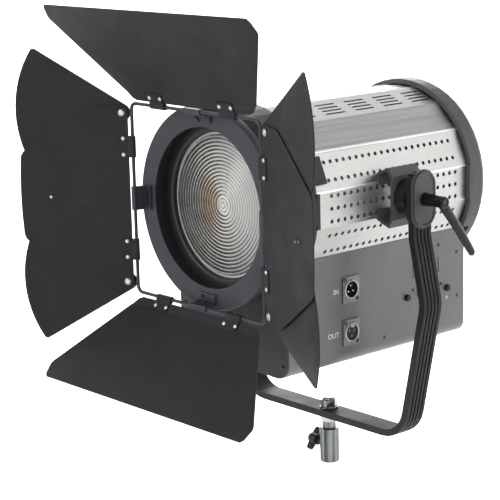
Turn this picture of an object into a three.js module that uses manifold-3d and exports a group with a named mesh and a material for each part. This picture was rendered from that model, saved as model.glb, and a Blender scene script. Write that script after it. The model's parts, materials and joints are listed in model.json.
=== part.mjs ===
// LED fresnel spotlight with four-leaf barn doors, yoke and stand socket.
//
// Millimetres, +Z up. The origin is the centre of the stand socket's mouth. The lamp faces -Y and
// tilts about an axis along X that passes straight above the socket.
import * as THREE from "three";
import { mergeVertices } from "three/addons/utils/BufferGeometryUtils.js";
import Module from "manifold-3d";

const wasm = await Module();
wasm.setup();

// ---------------------------------------------------------------- driving dimensions
const GAP = 0.3;                 // assembly gap between pieces that touch
const LENS_Z = 345;              // height of the lens axis above the socket's mouth
const TILT_UP = 4;               // the tilt axis is this far above the lens axis
const TILT_Z = LENS_Z + TILT_UP;

const FACETS = 16;               // the barrel is a regular sixteen-sided tube
const FACET = 360 / FACETS;      // angle that one facet covers, degrees
const BARREL_R = 110;            // corner radius of the barrel's panels
const PANEL_T = 2.5;             // wall of the extruded panels
const PANEL_FRONT = -125;        // the panels run from here, under the front casting's lip
const PANEL_REAR = 137;          // ... to here, under the rear casting's lip
const CASTING_R = 113;           // outside of the front casting
const REAR_R = 116;              // outside of the rear casting
const LIP = 6;                   // how far each casting's lip covers the panel ends
const REAR_END = 157;            // back face of the rear casting

const BOX_X = 93;                // half width of the control box
const BOX_TOP = -57.5;           // its upper edge, below the lens axis
const BOX_BOTTOM = -191;
const BOX_FRONT = -153;
const BOX_REAR = 142.5;
const BOX_BEND = 16;             // radius of the folded lower edges
const SHEET = 1.5;               // sheet metal of the box

const LENS_R = 88;               // glass radius, for a 7 inch lens
const LENS_SIGHT_R = 84;         // radius left clear by its retaining ring
const LENS_BACK = -156;          // back face of the lens

const RING_FRONT = -187.2;       // front face of the barn door ring
const RING_R = 117.3;
const RING_HOLE_R = 92;
const WIRE_Y = -201.4;           // plane of the hinge wire's centre line
const WIRE_HALF = 112;           // half the side of the wire square
const WIRE_R = 2;

const LEAF_T = 1.2;              // leaf sheet
// Each leaf's angle from straight ahead, and how far each ear is swung on its rivet, in degrees.
const LEAF_OPEN = { top: 68.5, right: 69.3, bottom: 56.3, left: 55 };
const EAR_SWIVEL = { left_upper: 0, left_lower: 0, right_upper: 0, right_lower: -13 };

const ARM_WIDTH = 28.5;          // yoke section along Y
const ARM_T = 8.5;               // yoke section across, ribs included

// ---------------------------------------------------------------- shape helpers
const rad = THREE.MathUtils.degToRad;
const polar = (r, degrees) => [r * Math.cos(rad(degrees)), r * Math.sin(rad(degrees))];

function toSolid(geometry) {
  const bare = geometry.clone();
  bare.deleteAttribute("normal");
  bare.deleteAttribute("uv");
  const merged = mergeVertices(bare, 1e-4);
  return new wasm.Manifold(new wasm.Mesh({
    numProp: 3,
    vertProperties: new Float32Array(merged.attributes.position.array),
    triVerts: new Uint32Array(merged.index.array),
  }));
}

function toGeometry(solid) {
  const mesh = solid.getMesh();
  const geometry = new THREE.BufferGeometry();
  geometry.setAttribute("position", new THREE.BufferAttribute(mesh.vertProperties, 3));
  geometry.setIndex(new THREE.BufferAttribute(mesh.triVerts, 1));
  geometry.computeVertexNormals();
  return geometry;
}

const join = (...pieces) => toGeometry(pieces.map(toSolid).reduce((a, b) => a.add(b)));
const cut = (piece, ...tools) =>
  toGeometry(tools.map(toSolid).reduce((a, b) => a.subtract(b), toSolid(piece)));
const move = (geometry, x, y, z) => geometry.translate(x, y, z);
const turn = (geometry, axis, degrees) => geometry.applyMatrix4(
  new THREE.Matrix4().makeRotationAxis(new THREE.Vector3(...axis), rad(degrees)));

// A block given by its lowest and highest corners.
function block([x0, y0, z0], [x1, y1, z1]) {
  const geometry = new THREE.BoxGeometry(x1 - x0, y1 - y0, z1 - z0);
  return geometry.translate((x0 + x1) / 2, (y0 + y1) / 2, (z0 + z1) / 2);
}

// A closed outline from points, in order.
function outline(points) {
  return new THREE.Shape(points.map(([x, y]) => new THREE.Vector2(x, y)));
}

// A rectangle with round corners, centred on x, y.
function roundRect(x, y, width, height, radius) {
  const shape = new THREE.Shape();
  const [hw, hh] = [width / 2 - radius, height / 2 - radius];
  shape.absarc(x + hw, y - hh, radius, -Math.PI / 2, 0);
  shape.absarc(x + hw, y + hh, radius, 0, Math.PI / 2);
  shape.absarc(x - hw, y + hh, radius, Math.PI / 2, Math.PI);
  shape.absarc(x - hw, y - hh, radius, Math.PI, 1.5 * Math.PI);
  shape.closePath();
  return shape;
}

function circle(radius, x = 0, y = 0) {
  const shape = new THREE.Shape();
  shape.absarc(x, y, radius, 0, 2 * Math.PI);
  return shape;
}

const extrude = (shape, depth, curveSegments) =>
  new THREE.ExtrudeGeometry(shape, { depth, bevelEnabled: false, curveSegments });

// Outlines drawn in X, Y and raised from z0 to z1; in X, Z along Y; and in Y, Z along X.
const alongZ = (shape, z0, z1, segments = 6) => extrude(shape, z1 - z0, segments).translate(0, 0, z0);
const alongY = (shape, y0, y1, segments = 6) =>
  extrude(shape, y1 - y0, segments).rotateX(Math.PI / 2).translate(0, y1, 0);
function alongX(shape, x0, x1, segments = 6) {
  const basis = new THREE.Matrix4().makeBasis(
    new THREE.Vector3(0, 1, 0), new THREE.Vector3(0, 0, 1), new THREE.Vector3(1, 0, 0));
  return extrude(shape, x1 - x0, segments).applyMatrix4(basis).translate(x0, 0, 0);
}

// Turned pieces. A profile is a list of [radius, place along the axis].
function latheY(profile, segments = 48) {
  const points = profile.map(([r, y]) => new THREE.Vector2(r, y));
  if (THREE.ShapeUtils.area(points) < 0) points.reverse();
  points.push(points[0].clone());
  return new THREE.LatheGeometry(points, segments);
}
const latheZ = (profile, segments = 24) => latheY(profile, segments).rotateX(Math.PI / 2);
const latheX = (profile, segments = 24) => latheY(profile, segments).rotateZ(-Math.PI / 2);

// Plain rods and rings, by two places on the axis.
const disc = (r, a, b) => [[0, a], [r, a], [r, b], [0, b]];
const tube = (outer, inner, a, b) => [[inner, a], [outer, a], [outer, b], [inner, b]];

function hexagon(acrossFlats) {
  const corner = acrossFlats / 2 / Math.cos(rad(30));
  return outline([0, 60, 120, 180, 240, 300].map((a) => polar(corner, a)));
}

// ---------------------------------------------------------------- materials and the scene graph
const finish = (color, roughness, metalness) =>
  new THREE.MeshStandardMaterial({ color, roughness, metalness });
const MATERIAL = {
  brushed: finish(0xd2d2cf, 0.32, 0.9),
  boxGray: finish(0x6f7371, 0.45, 0.6),
  castGray: finish(0x5c605f, 0.55, 0.4),
  castDark: finish(0x2a2b2d, 0.6, 0.3),
  leafBlack: finish(0x303236, 0.7, 0.2),
  ringBlue: finish(0x3b4048, 0.6, 0.2),
  yokeBlack: finish(0x34363a, 0.5, 0.4),
  chrome: finish(0xdadcdf, 0.15, 1),
  steel: finish(0xa5a7aa, 0.35, 0.9),
  brass: finish(0xb8924a, 0.35, 0.9),
  plastic: finish(0x17181a, 0.5, 0),
  glass: finish(0xc9ccc6, 0.05, 0),
  display: finish(0x0b0c0e, 0.2, 0),
  board: finish(0x1f4d34, 0.6, 0),
  phosphor: finish(0xd8b060, 0.6, 0),
  heatSink: finish(0x8c8f92, 0.45, 0.8),
};

function add(parent, name, material, geometry) {
  const mesh = new THREE.Mesh(geometry, material);
  mesh.name = name;
  parent.add(mesh);
  return mesh;
}

function group(parent, x = 0, y = 0, z = 0) {
  const child = new THREE.Group();
  child.position.set(x, y, z);
  parent.add(child);
  return child;
}

const spotlight = new THREE.Group();
const tilt = group(spotlight, 0, 0, TILT_Z);      // yoke pieces that sit on the tilt axis
const head = group(spotlight, 0, 0, LENS_Z);      // lamp head, centred on the lens axis

// ---------------------------------------------------------------- yoke
const BAR_TOP = 68.3 - TILT_Z;                    // upper face of the cross bar, from the tilt axis
const ARM_INNER_X = 149;                          // inner face of the arm at the pivot
const BOSS_HALF_W = 18;
const BOSS_HALF_H = 33;
const PIVOT_HOLE_R = 5.5;

// Inner face of one arm as X, Z corners, from the pivot down to the middle of the bar, with the
// radius of the bend at each corner.
const ARM_CORNERS = [
  { x: ARM_INNER_X, z: 30, bend: 0 },
  { x: ARM_INNER_X, z: -44, bend: 40 },
  { x: 166, z: -121, bend: 30 },
  { x: 131.5, z: BAR_TOP, bend: 33 },
  { x: 0, z: BAR_TOP, bend: 0 },
];

// The same run, offset outwards, with its corners rounded.
function armRun(offset) {
  const line = ARM_CORNERS.map(({ x, z }) => new THREE.Vector2(x, z));
  const normals = line.slice(1).map((p, i) => {
    const d = p.clone().sub(line[i]).normalize();
    return new THREE.Vector2(-d.y, d.x);
  });
  const corners = line.map((p, i) => {
    const before = normals[Math.max(i - 1, 0)];
    const after = normals[Math.min(i, normals.length - 1)];
    const mean = before.clone().add(after).normalize();
    return p.clone().addScaledVector(mean, offset / mean.dot(before));
  });
  const points = [corners[0]];
  for (let i = 1; i < corners.length - 1; i += 1) {
    const inwards = corners[i - 1].clone().sub(corners[i]).normalize();
    const onwards = corners[i + 1].clone().sub(corners[i]).normalize();
    const half = Math.acos(inwards.dot(onwards)) / 2;
    const bulge = Math.sign(inwards.cross(onwards));
    const radius = ARM_CORNERS[i].bend + bulge * offset;
    const back = radius / Math.tan(half);
    const towards = inwards.clone().add(onwards).normalize();
    const centre = towards.multiplyScalar(radius / Math.sin(half)).add(corners[i]);
    const start = inwards.clone().multiplyScalar(back).add(corners[i]).sub(centre);
    const sweep = Math.PI - 2 * half;
    const steps = Math.max(2, Math.round(sweep / rad(12)));
    for (let k = 0; k <= steps; k += 1) {
      const turned = start.clone().rotateAround(new THREE.Vector2(), -bulge * sweep * k / steps);
      points.push(turned.add(centre));
    }
  }
  points.push(corners.at(-1));
  return points.map((p) => [p.x, p.y]);
}

// A layer of the yoke between two offsets, on both arms, from one Y to another.
function yokeLayer(near, far, y0, y1) {
  const half = (offset) => {
    const right = armRun(offset);
    const left = right.slice(0, -1).map(([x, z]) => [-x, z]).reverse();
    return [...right, ...left];
  };
  return alongY(outline([...half(near), ...half(far).reverse()]), y0, y1);
}

function yokeFrame() {
  const grooves = 4;
  const pitch = ARM_WIDTH / (grooves + 1);
  const grooveWidth = 2;
  const grooveDepth = 4;
  const tools = [];
  for (let i = 0; i < grooves; i += 1) {
    const y = (i - (grooves - 1) / 2) * pitch;
    tools.push(yokeLayer(ARM_T - grooveDepth, ARM_T + 1, y - grooveWidth / 2, y + grooveWidth / 2));
  }
  const ribbed = cut(yokeLayer(0, ARM_T, -ARM_WIDTH / 2, ARM_WIDTH / 2), ...tools);
  const eyeShape = roundRect(0, 0, 2 * BOSS_HALF_W, 2 * BOSS_HALF_H, BOSS_HALF_W - 0.1);
  const eye = (x0, x1) => alongX(eyeShape, x0, x1);
  const pivotHole = latheX(disc(PIVOT_HOLE_R, -200, 200));
  const boltHole = move(latheZ(disc(6.4, -20, 20)), 0, 0, BAR_TOP);
  return cut(
    join(ribbed, eye(ARM_INNER_X, ARM_INNER_X + ARM_T), eye(-ARM_INNER_X - ARM_T, -ARM_INNER_X)),
    pivotHole, boltHole);
}
add(tilt, "yoke_frame", MATERIAL.yokeBlack, yokeFrame());

const CAP_T = 4.5;               // thickness of the cap over its rim

// Obround cap on the outside of each arm, with a raised rim round a sunk face.
function bossCap(side) {
  const inner = ARM_INNER_X + ARM_T + GAP;
  const layer = (grow, from, to) => alongX(
    roundRect(0, 0, 2 * (BOSS_HALF_W + grow), 2 * (BOSS_HALF_H + grow), BOSS_HALF_W + grow - 0.1),
    inner + from, inner + to);
  const base = layer(1, 0, 1.8);
  const rim = layer(-1, 1.5, CAP_T);
  const dish = layer(-3, CAP_T - 1, CAP_T + 1);
  const hole = latheX(disc(PIVOT_HOLE_R + 0.5, inner - 5, inner + 12));
  const cap = cut(join(base, rim), dish, hole);
  return side > 0 ? cap : turn(cap, [0, 0, 1], 180);
}
add(tilt, "boss_cap_right", MATERIAL.castGray, bossCap(1));
add(tilt, "boss_cap_left", MATERIAL.castGray, bossCap(-1));

// ---------------------------------------------------------------- tilt lock
const STUD_R = 5;
const CAP_FACE_X = ARM_INNER_X + ARM_T + GAP + CAP_T - 1;   // sunk face of the boss cap
const LEVER_LENGTH = 88;
const LEVER_DROP = 52;           // the lever hangs this far below straight back, degrees

function tiltLever() {
  const hub = latheX([[0, CAP_FACE_X + GAP], [8, CAP_FACE_X + GAP], [7, CAP_FACE_X + 8],
    [6.8, 191], [5.6, 193.5], [0, 193.5]], 20);
  const socket = latheX(disc(3, 190.5, 195), 12);
  const arm = new THREE.CylinderGeometry(4.6, 6, LEVER_LENGTH, 12).scale(0.75, 1, 1);
  arm.translate(0, LEVER_LENGTH / 2, 0).rotateX(rad(-LEVER_DROP)).translate(186, 0, 0);
  return cut(join(hub, arm), socket);
}
add(tilt, "tilt_lever", MATERIAL.plastic, tiltLever());

// Knob that tightens the left pivot.
function leftKnob() {
  const face = -CAP_FACE_X - GAP;
  const knob = alongX(circle(15), face - 16, face - 5, 5);
  const flutes = [];
  for (let i = 0; i < 6; i += 1) {
    const [y, z] = polar(17.5, i * 60);
    flutes.push(alongX(circle(5, y, z), face - 20, face, 3));
  }
  return join(cut(knob, ...flutes), latheX(disc(8, face - 5.1, face)));
}
add(tilt, "tilt_knob_left", MATERIAL.plastic, leftKnob());

// ---------------------------------------------------------------- stand socket
const SLEEVE_R = 12;
const SLEEVE_TOP = 43.5;
const COLLAR_BOTTOM = 52.5;
const BAR_UNDERSIDE = TILT_Z + BAR_TOP - ARM_T;
const BORE_R = 8.1;
const SCREW_Z = 22;

function standSocket() {
  const body = latheZ([
    [0, 0], [SLEEVE_R - 0.8, 0], [SLEEVE_R, 0.8], [SLEEVE_R, SLEEVE_TOP - 1], [SLEEVE_R - 1, SLEEVE_TOP],
    [8.2, SLEEVE_TOP], [8.2, COLLAR_BOTTOM - GAP], [0, COLLAR_BOTTOM - GAP]], 32);
  const bore = latheZ(disc(BORE_R, -1, 39), 32);
  const boltBore = latheZ(disc(6.4, 30, 60));
  const screwHole = move(latheX(disc(4.4, -20, 0), 16), 0, 0, SCREW_Z);
  return cut(body, bore, boltBore, screwHole);
}
add(spotlight, "stand_socket", MATERIAL.chrome, standSocket());
add(spotlight, "spacer_collar", MATERIAL.steel,
  latheZ(tube(10.6, 6.5, COLLAR_BOTTOM, BAR_UNDERSIDE - GAP), 32));

// Bolt that holds the yoke on the socket, with its washer and lock nut above the bar.
function yokeBolt() {
  const barTop = TILT_Z + BAR_TOP;
  const shank = latheZ(disc(6, 38.5, barTop + 14), 20);
  const washer = latheZ(tube(11.5, 5.5, barTop + GAP, barTop + 2), 24);
  const nut = alongZ(hexagon(18), barTop + 1.9, barTop + 11);
  const lock = latheZ(disc(7.6, barTop + 10.9, barTop + 13.2), 20);
  const head = latheZ(disc(7.8, 36.5, 38.6), 20);
  return join(shank, washer, nut, lock, head);
}
add(spotlight, "yoke_bolt", MATERIAL.chrome, yokeBolt());

// The clamp screw's pad only travels; the wing knob turns and travels with it.
add(spotlight, "clamp_pad", MATERIAL.brass, move(latheX(disc(3.4, -10.6, -9), 16), 0, 0, SCREW_Z));

function wingKnob() {
  const screw = latheX(disc(4, -26, -11), 16);
  const hub = latheX([[0, -34], [5, -34], [7, -31], [7, -20], [0, -20]], 16);
  const wing = new THREE.Shape();
  wing.moveTo(-5, -4);
  wing.lineTo(5, -4);
  wing.quadraticCurveTo(6, 5, 4.5, 11);
  wing.absarc(0.5, 11, 4, 0, Math.PI);
  wing.quadraticCurveTo(-4, 5, -5, -4);
  const blade = (side) => {
    const plate = extrude(wing, 5, 4).translate(0, 0, -2.5).rotateX(Math.PI / 2);
    return turn(plate, [1, 0, 0], side > 0 ? 0 : 180).translate(-28, 0, 0);
  };
  const wings = turn(join(blade(1), blade(-1)), [1, 0, 0], -36);
  return move(join(screw, hub, wings), 0, 0, SCREW_Z);
}
add(spotlight, "wing_knob", MATERIAL.plastic, wingKnob());

// ---------------------------------------------------------------- barrel panels
const SEAM = 0.15;               // half the gap between neighbouring panels, degrees

const CORNER = FACET / 2;        // the first corner above the +X side
const SIDE_END = 31.4;           // the side panels end this far below the +X side, at the box

// Section of the barrel wall between two angles, each of which may lie anywhere on a facet.
function wallSection(from, to) {
  const turns = [from + SEAM];
  for (let corner = CORNER - 180; corner < to - 1; corner += FACET) {
    if (corner > from + 1) turns.push(corner);
  }
  turns.push(to - SEAM);
  const apothem = BARREL_R * Math.cos(rad(FACET / 2));
  const edge = (depth) => turns.map((a) => {
    const fromMiddle = a - FACET * Math.round(a / FACET);
    return polar((apothem - depth) / Math.cos(rad(fromMiddle)), a);
  });
  return outline([...edge(0), ...edge(PANEL_T).reverse()]);
}
const panel = (from, to) => alongY(wallSection(from, to), PANEL_FRONT, PANEL_REAR);

add(head, "top_panel", MATERIAL.brushed, panel(CORNER + 2 * FACET, CORNER + 5 * FACET));
add(head, "shoulder_panel_right", MATERIAL.brushed, panel(CORNER + FACET, CORNER + 2 * FACET));
add(head, "shoulder_panel_left", MATERIAL.brushed, panel(CORNER + 5 * FACET, CORNER + 6 * FACET));
add(head, "side_panel_right", MATERIAL.brushed, panel(-SIDE_END, CORNER + FACET));
add(head, "side_panel_left", MATERIAL.brushed, panel(CORNER + 6 * FACET, 180 + SIDE_END));

// ---------------------------------------------------------------- castings
const LIP_BORE = BARREL_R + 0.4;
const belowBox = (y0, y1) => block([-140, y0, -140], [140, y1, BOX_TOP + 1]);

// A lobe of the casting's lip that reaches further over the middle side facet.
function sideLobe(side, radius, y0, y1) {
  const half = 20;
  const apothem = BARREL_R * Math.cos(rad(CORNER));
  return block(
    [side > 0 ? apothem + 0.4 : -radius + 0.6, y0, -half],
    [side > 0 ? radius - 0.6 : -apothem - 0.4, y1, half]);
}

const HOLDER_R = 98;             // bore of the accessory holder
const HOLDER_REAR = -168;        // it is screwed to the front casting here

// Flanged ring on the front of the lamp; the barn door ring turns on its flange.
function accessoryHolder() {
  const flangeFront = RING_FRONT + 2 + GAP + 0.5;
  return latheY([
    [HOLDER_R, flangeFront], [114.4, flangeFront], [114.4, flangeFront + 4], [110, flangeFront + 4.3],
    [110, HOLDER_REAR], [HOLDER_R, HOLDER_REAR]], 48);
}
add(head, "accessory_holder", MATERIAL.castDark, accessoryHolder());

function frontCasting() {
  const lipEdge = PANEL_FRONT + LIP;
  const front = HOLDER_REAR + GAP;
  const body = latheY([
    [HOLDER_R, front], [110, front], [113, -158], [CASTING_R, -152], [CASTING_R, lipEdge - 1],
    [CASTING_R - 1, lipEdge], [LIP_BORE, lipEdge], [LIP_BORE, PANEL_FRONT - GAP],
    [104, PANEL_FRONT - GAP], [104, -150], [LENS_SIGHT_R, -150], [LENS_SIGHT_R, LENS_BACK + GAP],
    [LENS_R + GAP, LENS_BACK + GAP], [LENS_R + GAP, -164], [HOLDER_R, -164]], 48);
  const lobes = [1, -1].map((side) => sideLobe(side, CASTING_R, lipEdge - 2, lipEdge + 3));
  const tongue = alongY(outline([
    polar(BARREL_R + 0.6, CORNER + 4), polar(BARREL_R + 2.4, CORNER + 4),
    polar(BARREL_R + 2.4, CORNER + FACET - 2), polar(BARREL_R + 0.6, CORNER + FACET - 2),
  ]), lipEdge - 2, lipEdge + 18.5);
  return cut(join(body, ...lobes, tongue), belowBox(BOX_FRONT - GAP, 0));
}
add(head, "front_casting", MATERIAL.castDark, frontCasting());

const FAN_OPENING_R = 42;
const SCREW_X = 0;               // the focus screw, on the middle plane below the fan
const SCREW_BELOW = -53;
const ROD_X = 62;
const ROD_Z = -34;

function rearCasting() {
  const lipEdge = PANEL_REAR - LIP;
  const wall = 5;
  const body = latheY([
    [0, REAR_END - wall], [104, REAR_END - wall], [104, PANEL_REAR + GAP], [LIP_BORE, PANEL_REAR + GAP],
    [LIP_BORE, lipEdge], [REAR_R - 1, lipEdge], [REAR_R, lipEdge + 1], [REAR_R, REAR_END - 7],
    [REAR_R - 2, REAR_END - 2.5], [REAR_R - 6, REAR_END], [0, REAR_END]], 48);
  const lobes = [1, -1].map((side) => sideLobe(side, REAR_R, lipEdge - 3, lipEdge + 2));
  const opening = latheY(disc(FAN_OPENING_R, REAR_END - wall - 1, REAR_END + 1), 40);
  const rings = [12, 22, 32].map((r) => latheY(tube(r + 1.4, r - 1.4, REAR_END - 3, REAR_END - 0.5), 32));
  const spoke = (degrees) => {
    const reach = FAN_OPENING_R + 1;
    const bar = block([-reach, REAR_END - 3.4, -1.6], [reach, REAR_END - 0.9, 1.6]);
    return turn(bar, [0, 1, 0], degrees);
  };
  const screwBore = latheY(disc(4.6, REAR_END - 10, REAR_END + 5), 16);
  const screwHole = move(screwBore, SCREW_X, 0, SCREW_BELOW);
  const shell = cut(join(body, ...lobes), opening, screwHole, belowBox(0, BOX_REAR + GAP));
  return join(shell, ...rings, spoke(45), spoke(135));
}
add(head, "rear_casting", MATERIAL.castGray, rearCasting());

// ---------------------------------------------------------------- lens
function fresnelLens() {
  const rim = LENS_BACK - 5;
  const profile = [[0, LENS_BACK], [LENS_R, LENS_BACK], [LENS_R, rim], [LENS_SIGHT_R - 2, rim]];
  const zones = 6;
  const zoneWidth = 12;
  for (let i = zones - 1; i >= 0; i -= 1) {
    const outer = zoneWidth * (i + 1) + 8;
    const inner = zoneWidth * i + 8;
    profile.push([outer, rim], [inner, rim - 2.2]);
  }
  profile.push([4, rim - 2.8], [0, rim - 3]);
  return latheY(profile, 36);
}
add(head, "fresnel_lens", MATERIAL.glass, fresnelLens());
add(head, "lens_retainer", MATERIAL.castDark, latheY([
  [LENS_SIGHT_R, -165.5], [LENS_SIGHT_R, -161.6], [LENS_R - 1, -161.6], [LENS_R - 1, -164.4],
  [97.6, -164.4], [97.6, -168], [LENS_SIGHT_R + 3, -168]], 36));

// ---------------------------------------------------------------- control box
// Places on the box's right side, as Y and Z from the lens axis.
const XLR_Y = -52.4;
const XLR_IN_Z = -102;
const XLR_OUT_Z = -153;
const DISPLAY = { y: 74.4, z: -98.5, width: 47, height: 19 };
const BUTTON = { y: 41.8, pitch: 23.3, z: -129.6, radius: 4, travel: 1.5 };
const BUTTON_NAMES = ["confirm_button", "menu_button", "minus_button", "plus_button"];

// The box's section: open at the top, with both lower corners round.
function boxOutline(inset, top) {
  const shape = new THREE.Shape();
  const x = BOX_X - inset;
  const radius = BOX_BEND - inset;
  const bendX = BOX_X - BOX_BEND;
  const bendZ = BOX_BOTTOM + BOX_BEND;
  shape.moveTo(-x, top);
  shape.lineTo(-x, bendZ);
  shape.absarc(-bendX, bendZ, radius, Math.PI, 1.5 * Math.PI);
  shape.absarc(bendX, bendZ, radius, 1.5 * Math.PI, 2 * Math.PI);
  shape.lineTo(x, top);
  return shape;
}

function controlBox() {
  const front = BOX_FRONT + 3 + GAP;
  const shell = cut(
    alongY(boxOutline(0, BOX_TOP), front, BOX_REAR),
    alongY(boxOutline(SHEET, BOX_TOP + 5), front - 5, BOX_REAR + 5));
  const through = (shape, segments) => alongX(shape, BOX_X - 5, BOX_X + 5, segments);
  const holes = [
    through(circle(11.8, XLR_Y, XLR_IN_Z)),
    through(circle(11.8, XLR_Y, XLR_OUT_Z)),
    through(roundRect(DISPLAY.y, DISPLAY.z, DISPLAY.width, DISPLAY.height, 1.5), 2),
    ...BUTTON_NAMES.map((_, i) =>
      through(circle(BUTTON.radius + 0.4, BUTTON.y + i * BUTTON.pitch, BUTTON.z), 4)),
  ];
  return cut(shell, ...holes);
}
add(head, "control_box", MATERIAL.boxGray, controlBox());

function frontPlate() {
  const recess = block([-66, BOX_FRONT - 1, BOX_BOTTOM - 1], [66, BOX_FRONT + 1, BOX_TOP + 1]);
  const plate = cut(alongY(boxOutline(0, BOX_TOP - GAP), BOX_FRONT, BOX_FRONT + 3), recess);
  const screw = latheY([[0, BOX_FRONT - 1.4], [2, BOX_FRONT - 1.4], [3, BOX_FRONT - 0.6],
    [3, BOX_FRONT + 1], [0, BOX_FRONT + 1]], 12);
  const screws = [-85, 85].flatMap((x) => [-176, -130].map((z) => move(screw.clone(), x, 0, z)));
  return join(plate, ...screws);
}
add(head, "box_front_plate", MATERIAL.castDark, frontPlate());

// ---------------------------------------------------------------- rear plate and mains parts
const INLET = { x: -48, z: -134, width: 48, height: 28 };
const ROCKER = { x: 8, z: -134, width: 14, height: 21 };
const PLATE_REAR = BOX_REAR - 0.5;
const PLATE_T = 2;

function rearPlate() {
  const hole = ({ x: cx, z, width, height }) =>
    alongY(roundRect(cx, z, width + 1, height + 1, 1), PLATE_REAR - 10, PLATE_REAR + 10, 2);
  const plate = alongY(boxOutline(SHEET + GAP, BOX_TOP - 1), PLATE_REAR - PLATE_T, PLATE_REAR);
  return cut(plate, hole({ ...INLET, width: 28 }), hole(ROCKER));
}
add(head, "box_rear_plate", MATERIAL.boxGray, rearPlate());

function powerInlet() {
  const { x, z } = INLET;
  const face = PLATE_REAR + GAP;
  const flange = alongY(roundRect(x, z, INLET.width, INLET.height, 3), face, face + 2, 3);
  const body = alongY(roundRect(x, z, 27, 27, 2), face - 20, face + 0.5, 3);
  const cavity = alongY(outline([
    [x - 12, z - 8], [x + 12, z - 8], [x + 12, z + 3], [x + 7, z + 8],
    [x - 7, z + 8], [x - 12, z + 3]]), face - 17, face + 3);
  const pins = [[-7, -1], [0, 3], [7, -1]].map(([dx, dz]) =>
    block([x + dx - 1, face - 18, z + dz - 2], [x + dx + 1, face - 4, z + dz + 2]));
  return join(cut(join(flange, body), cavity), ...pins);
}
add(head, "power_inlet", MATERIAL.plastic, powerInlet());

function rockerFrame() {
  const { x, z, width, height } = ROCKER;
  const face = PLATE_REAR + GAP;
  const flange = alongY(roundRect(x, z, width + 5, height + 5, 2), face, face + 1.6, 3);
  const body = alongY(roundRect(x, z, width, height, 0.8), face - 14, face + 0.5, 2);
  const well = alongY(roundRect(x, z, width - 3, height - 3, 0.5), face - 12, face + 3, 2);
  return cut(join(flange, body), well);
}
add(head, "power_switch_frame", MATERIAL.plastic, rockerFrame());

// Rocker, tipped so that its lower half is pressed in.
const ROCKER_TIP = 8;
const rocker = group(head, ROCKER.x, PLATE_REAR - 3, ROCKER.z);
rocker.rotation.x = rad(ROCKER_TIP);
function rockerPaddle() {
  const half = (ROCKER.height - 5.5) / 2;
  const side = outline([[-3, -half], [4.6, -half], [3.2, 0], [4.6, half], [-3, half]]);
  return alongX(side, -ROCKER.width / 2 + 2.2, ROCKER.width / 2 - 2.2);
}
add(rocker, "power_rocker", MATERIAL.plastic, rockerPaddle());

// ---------------------------------------------------------------- side panel fittings
const PANEL_FACE = BOX_X + GAP;

function xlrFlange(z) {
  const plate = alongX(roundRect(XLR_Y, z, 26, 31, 2), PANEL_FACE, PANEL_FACE + 1.6, 3);
  const screwHoles = [[-9.5, 12], [9.5, -12]].map(([dy, dz]) =>
    alongX(circle(1.7, XLR_Y + dy, z + dz), PANEL_FACE - 1, PANEL_FACE + 3, 3));
  return cut(plate, ...screwHoles);
}
const atXlr = (geometry, z) => move(geometry, 0, XLR_Y, z);

function xlrIn() {
  const z = XLR_IN_Z;
  const shell = atXlr(latheX(tube(11, 9, PANEL_FACE - 14, PANEL_FACE + 3), 20), z);
  const floor = atXlr(latheX(disc(9.5, PANEL_FACE - 15, PANEL_FACE - 12.5), 20), z);
  const bore = atXlr(latheX(disc(9, PANEL_FACE - 12.5, PANEL_FACE + 5), 20), z);
  const pins = [90, 210, 330].map((a) => {
    const [dy, dz] = polar(4.4, a);
    const pin = latheX([
      [0, PANEL_FACE - 13], [1.2, PANEL_FACE - 13], [1.2, PANEL_FACE + 0.5], [0, PANEL_FACE + 1.2]], 8);
    return move(pin, 0, XLR_Y + dy, z + dz);
  });
  return join(cut(join(xlrFlange(z), shell, floor), bore), ...pins);
}
add(head, "xlr_in", MATERIAL.steel, xlrIn());

const LATCH = { width: 6, height: 5, rise: 6 };
function xlrOut() {
  const z = XLR_OUT_Z;
  const ring = atXlr(latheX(tube(11, 8.4, PANEL_FACE - 10, PANEL_FACE + 2.6), 20), z);
  const insert = atXlr(latheX(disc(8.5, PANEL_FACE - 12, PANEL_FACE + 1.4), 20), z);
  const sockets = [30, 150, 270].map((a) => {
    const [dy, dz] = polar(4.4, a);
    return alongX(circle(1.4, XLR_Y + dy, z + dz), PANEL_FACE - 8, PANEL_FACE + 4, 3);
  });
  const pocket = block([PANEL_FACE - 12, XLR_Y - LATCH.width / 2 - 0.4, z + LATCH.rise - 0.4],
    [PANEL_FACE + 6, XLR_Y + LATCH.width / 2 + 0.4, z + LATCH.rise + LATCH.height + 0.8]);
  return cut(join(xlrFlange(z), ring, insert), ...sockets, pocket);
}
add(head, "xlr_out", MATERIAL.steel, xlrOut());
add(head, "xlr_latch", MATERIAL.steel, block(
  [PANEL_FACE - 5, XLR_Y - LATCH.width / 2, XLR_OUT_Z + LATCH.rise],
  [PANEL_FACE + 3.4, XLR_Y + LATCH.width / 2, XLR_OUT_Z + LATCH.rise + LATCH.height]));

function displayWindow() {
  const { y, z, width, height } = DISPLAY;
  const inside = BOX_X - SHEET;
  const pane = alongX(roundRect(y, z, width - 0.6, height - 0.6, 1.2), inside - 1, BOX_X - 0.5, 2);
  const frame = alongX(roundRect(y, z, width + 6, height + 6, 2), inside - 3, inside - GAP, 2);
  return join(pane, frame);
}
add(head, "display_window", MATERIAL.display, displayWindow());

BUTTON_NAMES.forEach((name, i) => {
  const cap = latheX([[0, BOX_X - 3], [BUTTON.radius, BOX_X - 3], [BUTTON.radius, BOX_X + 3.2],
    [BUTTON.radius - 1, BOX_X + 4], [0, BOX_X + 4]], 16);
  const stop = latheX(disc(BUTTON.radius + 1.4, BOX_X - 4.2, BOX_X - SHEET - GAP), 16);
  add(head, name, MATERIAL.plastic, move(join(cap, stop), 0, BUTTON.y + i * BUTTON.pitch, BUTTON.z));
});

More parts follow.
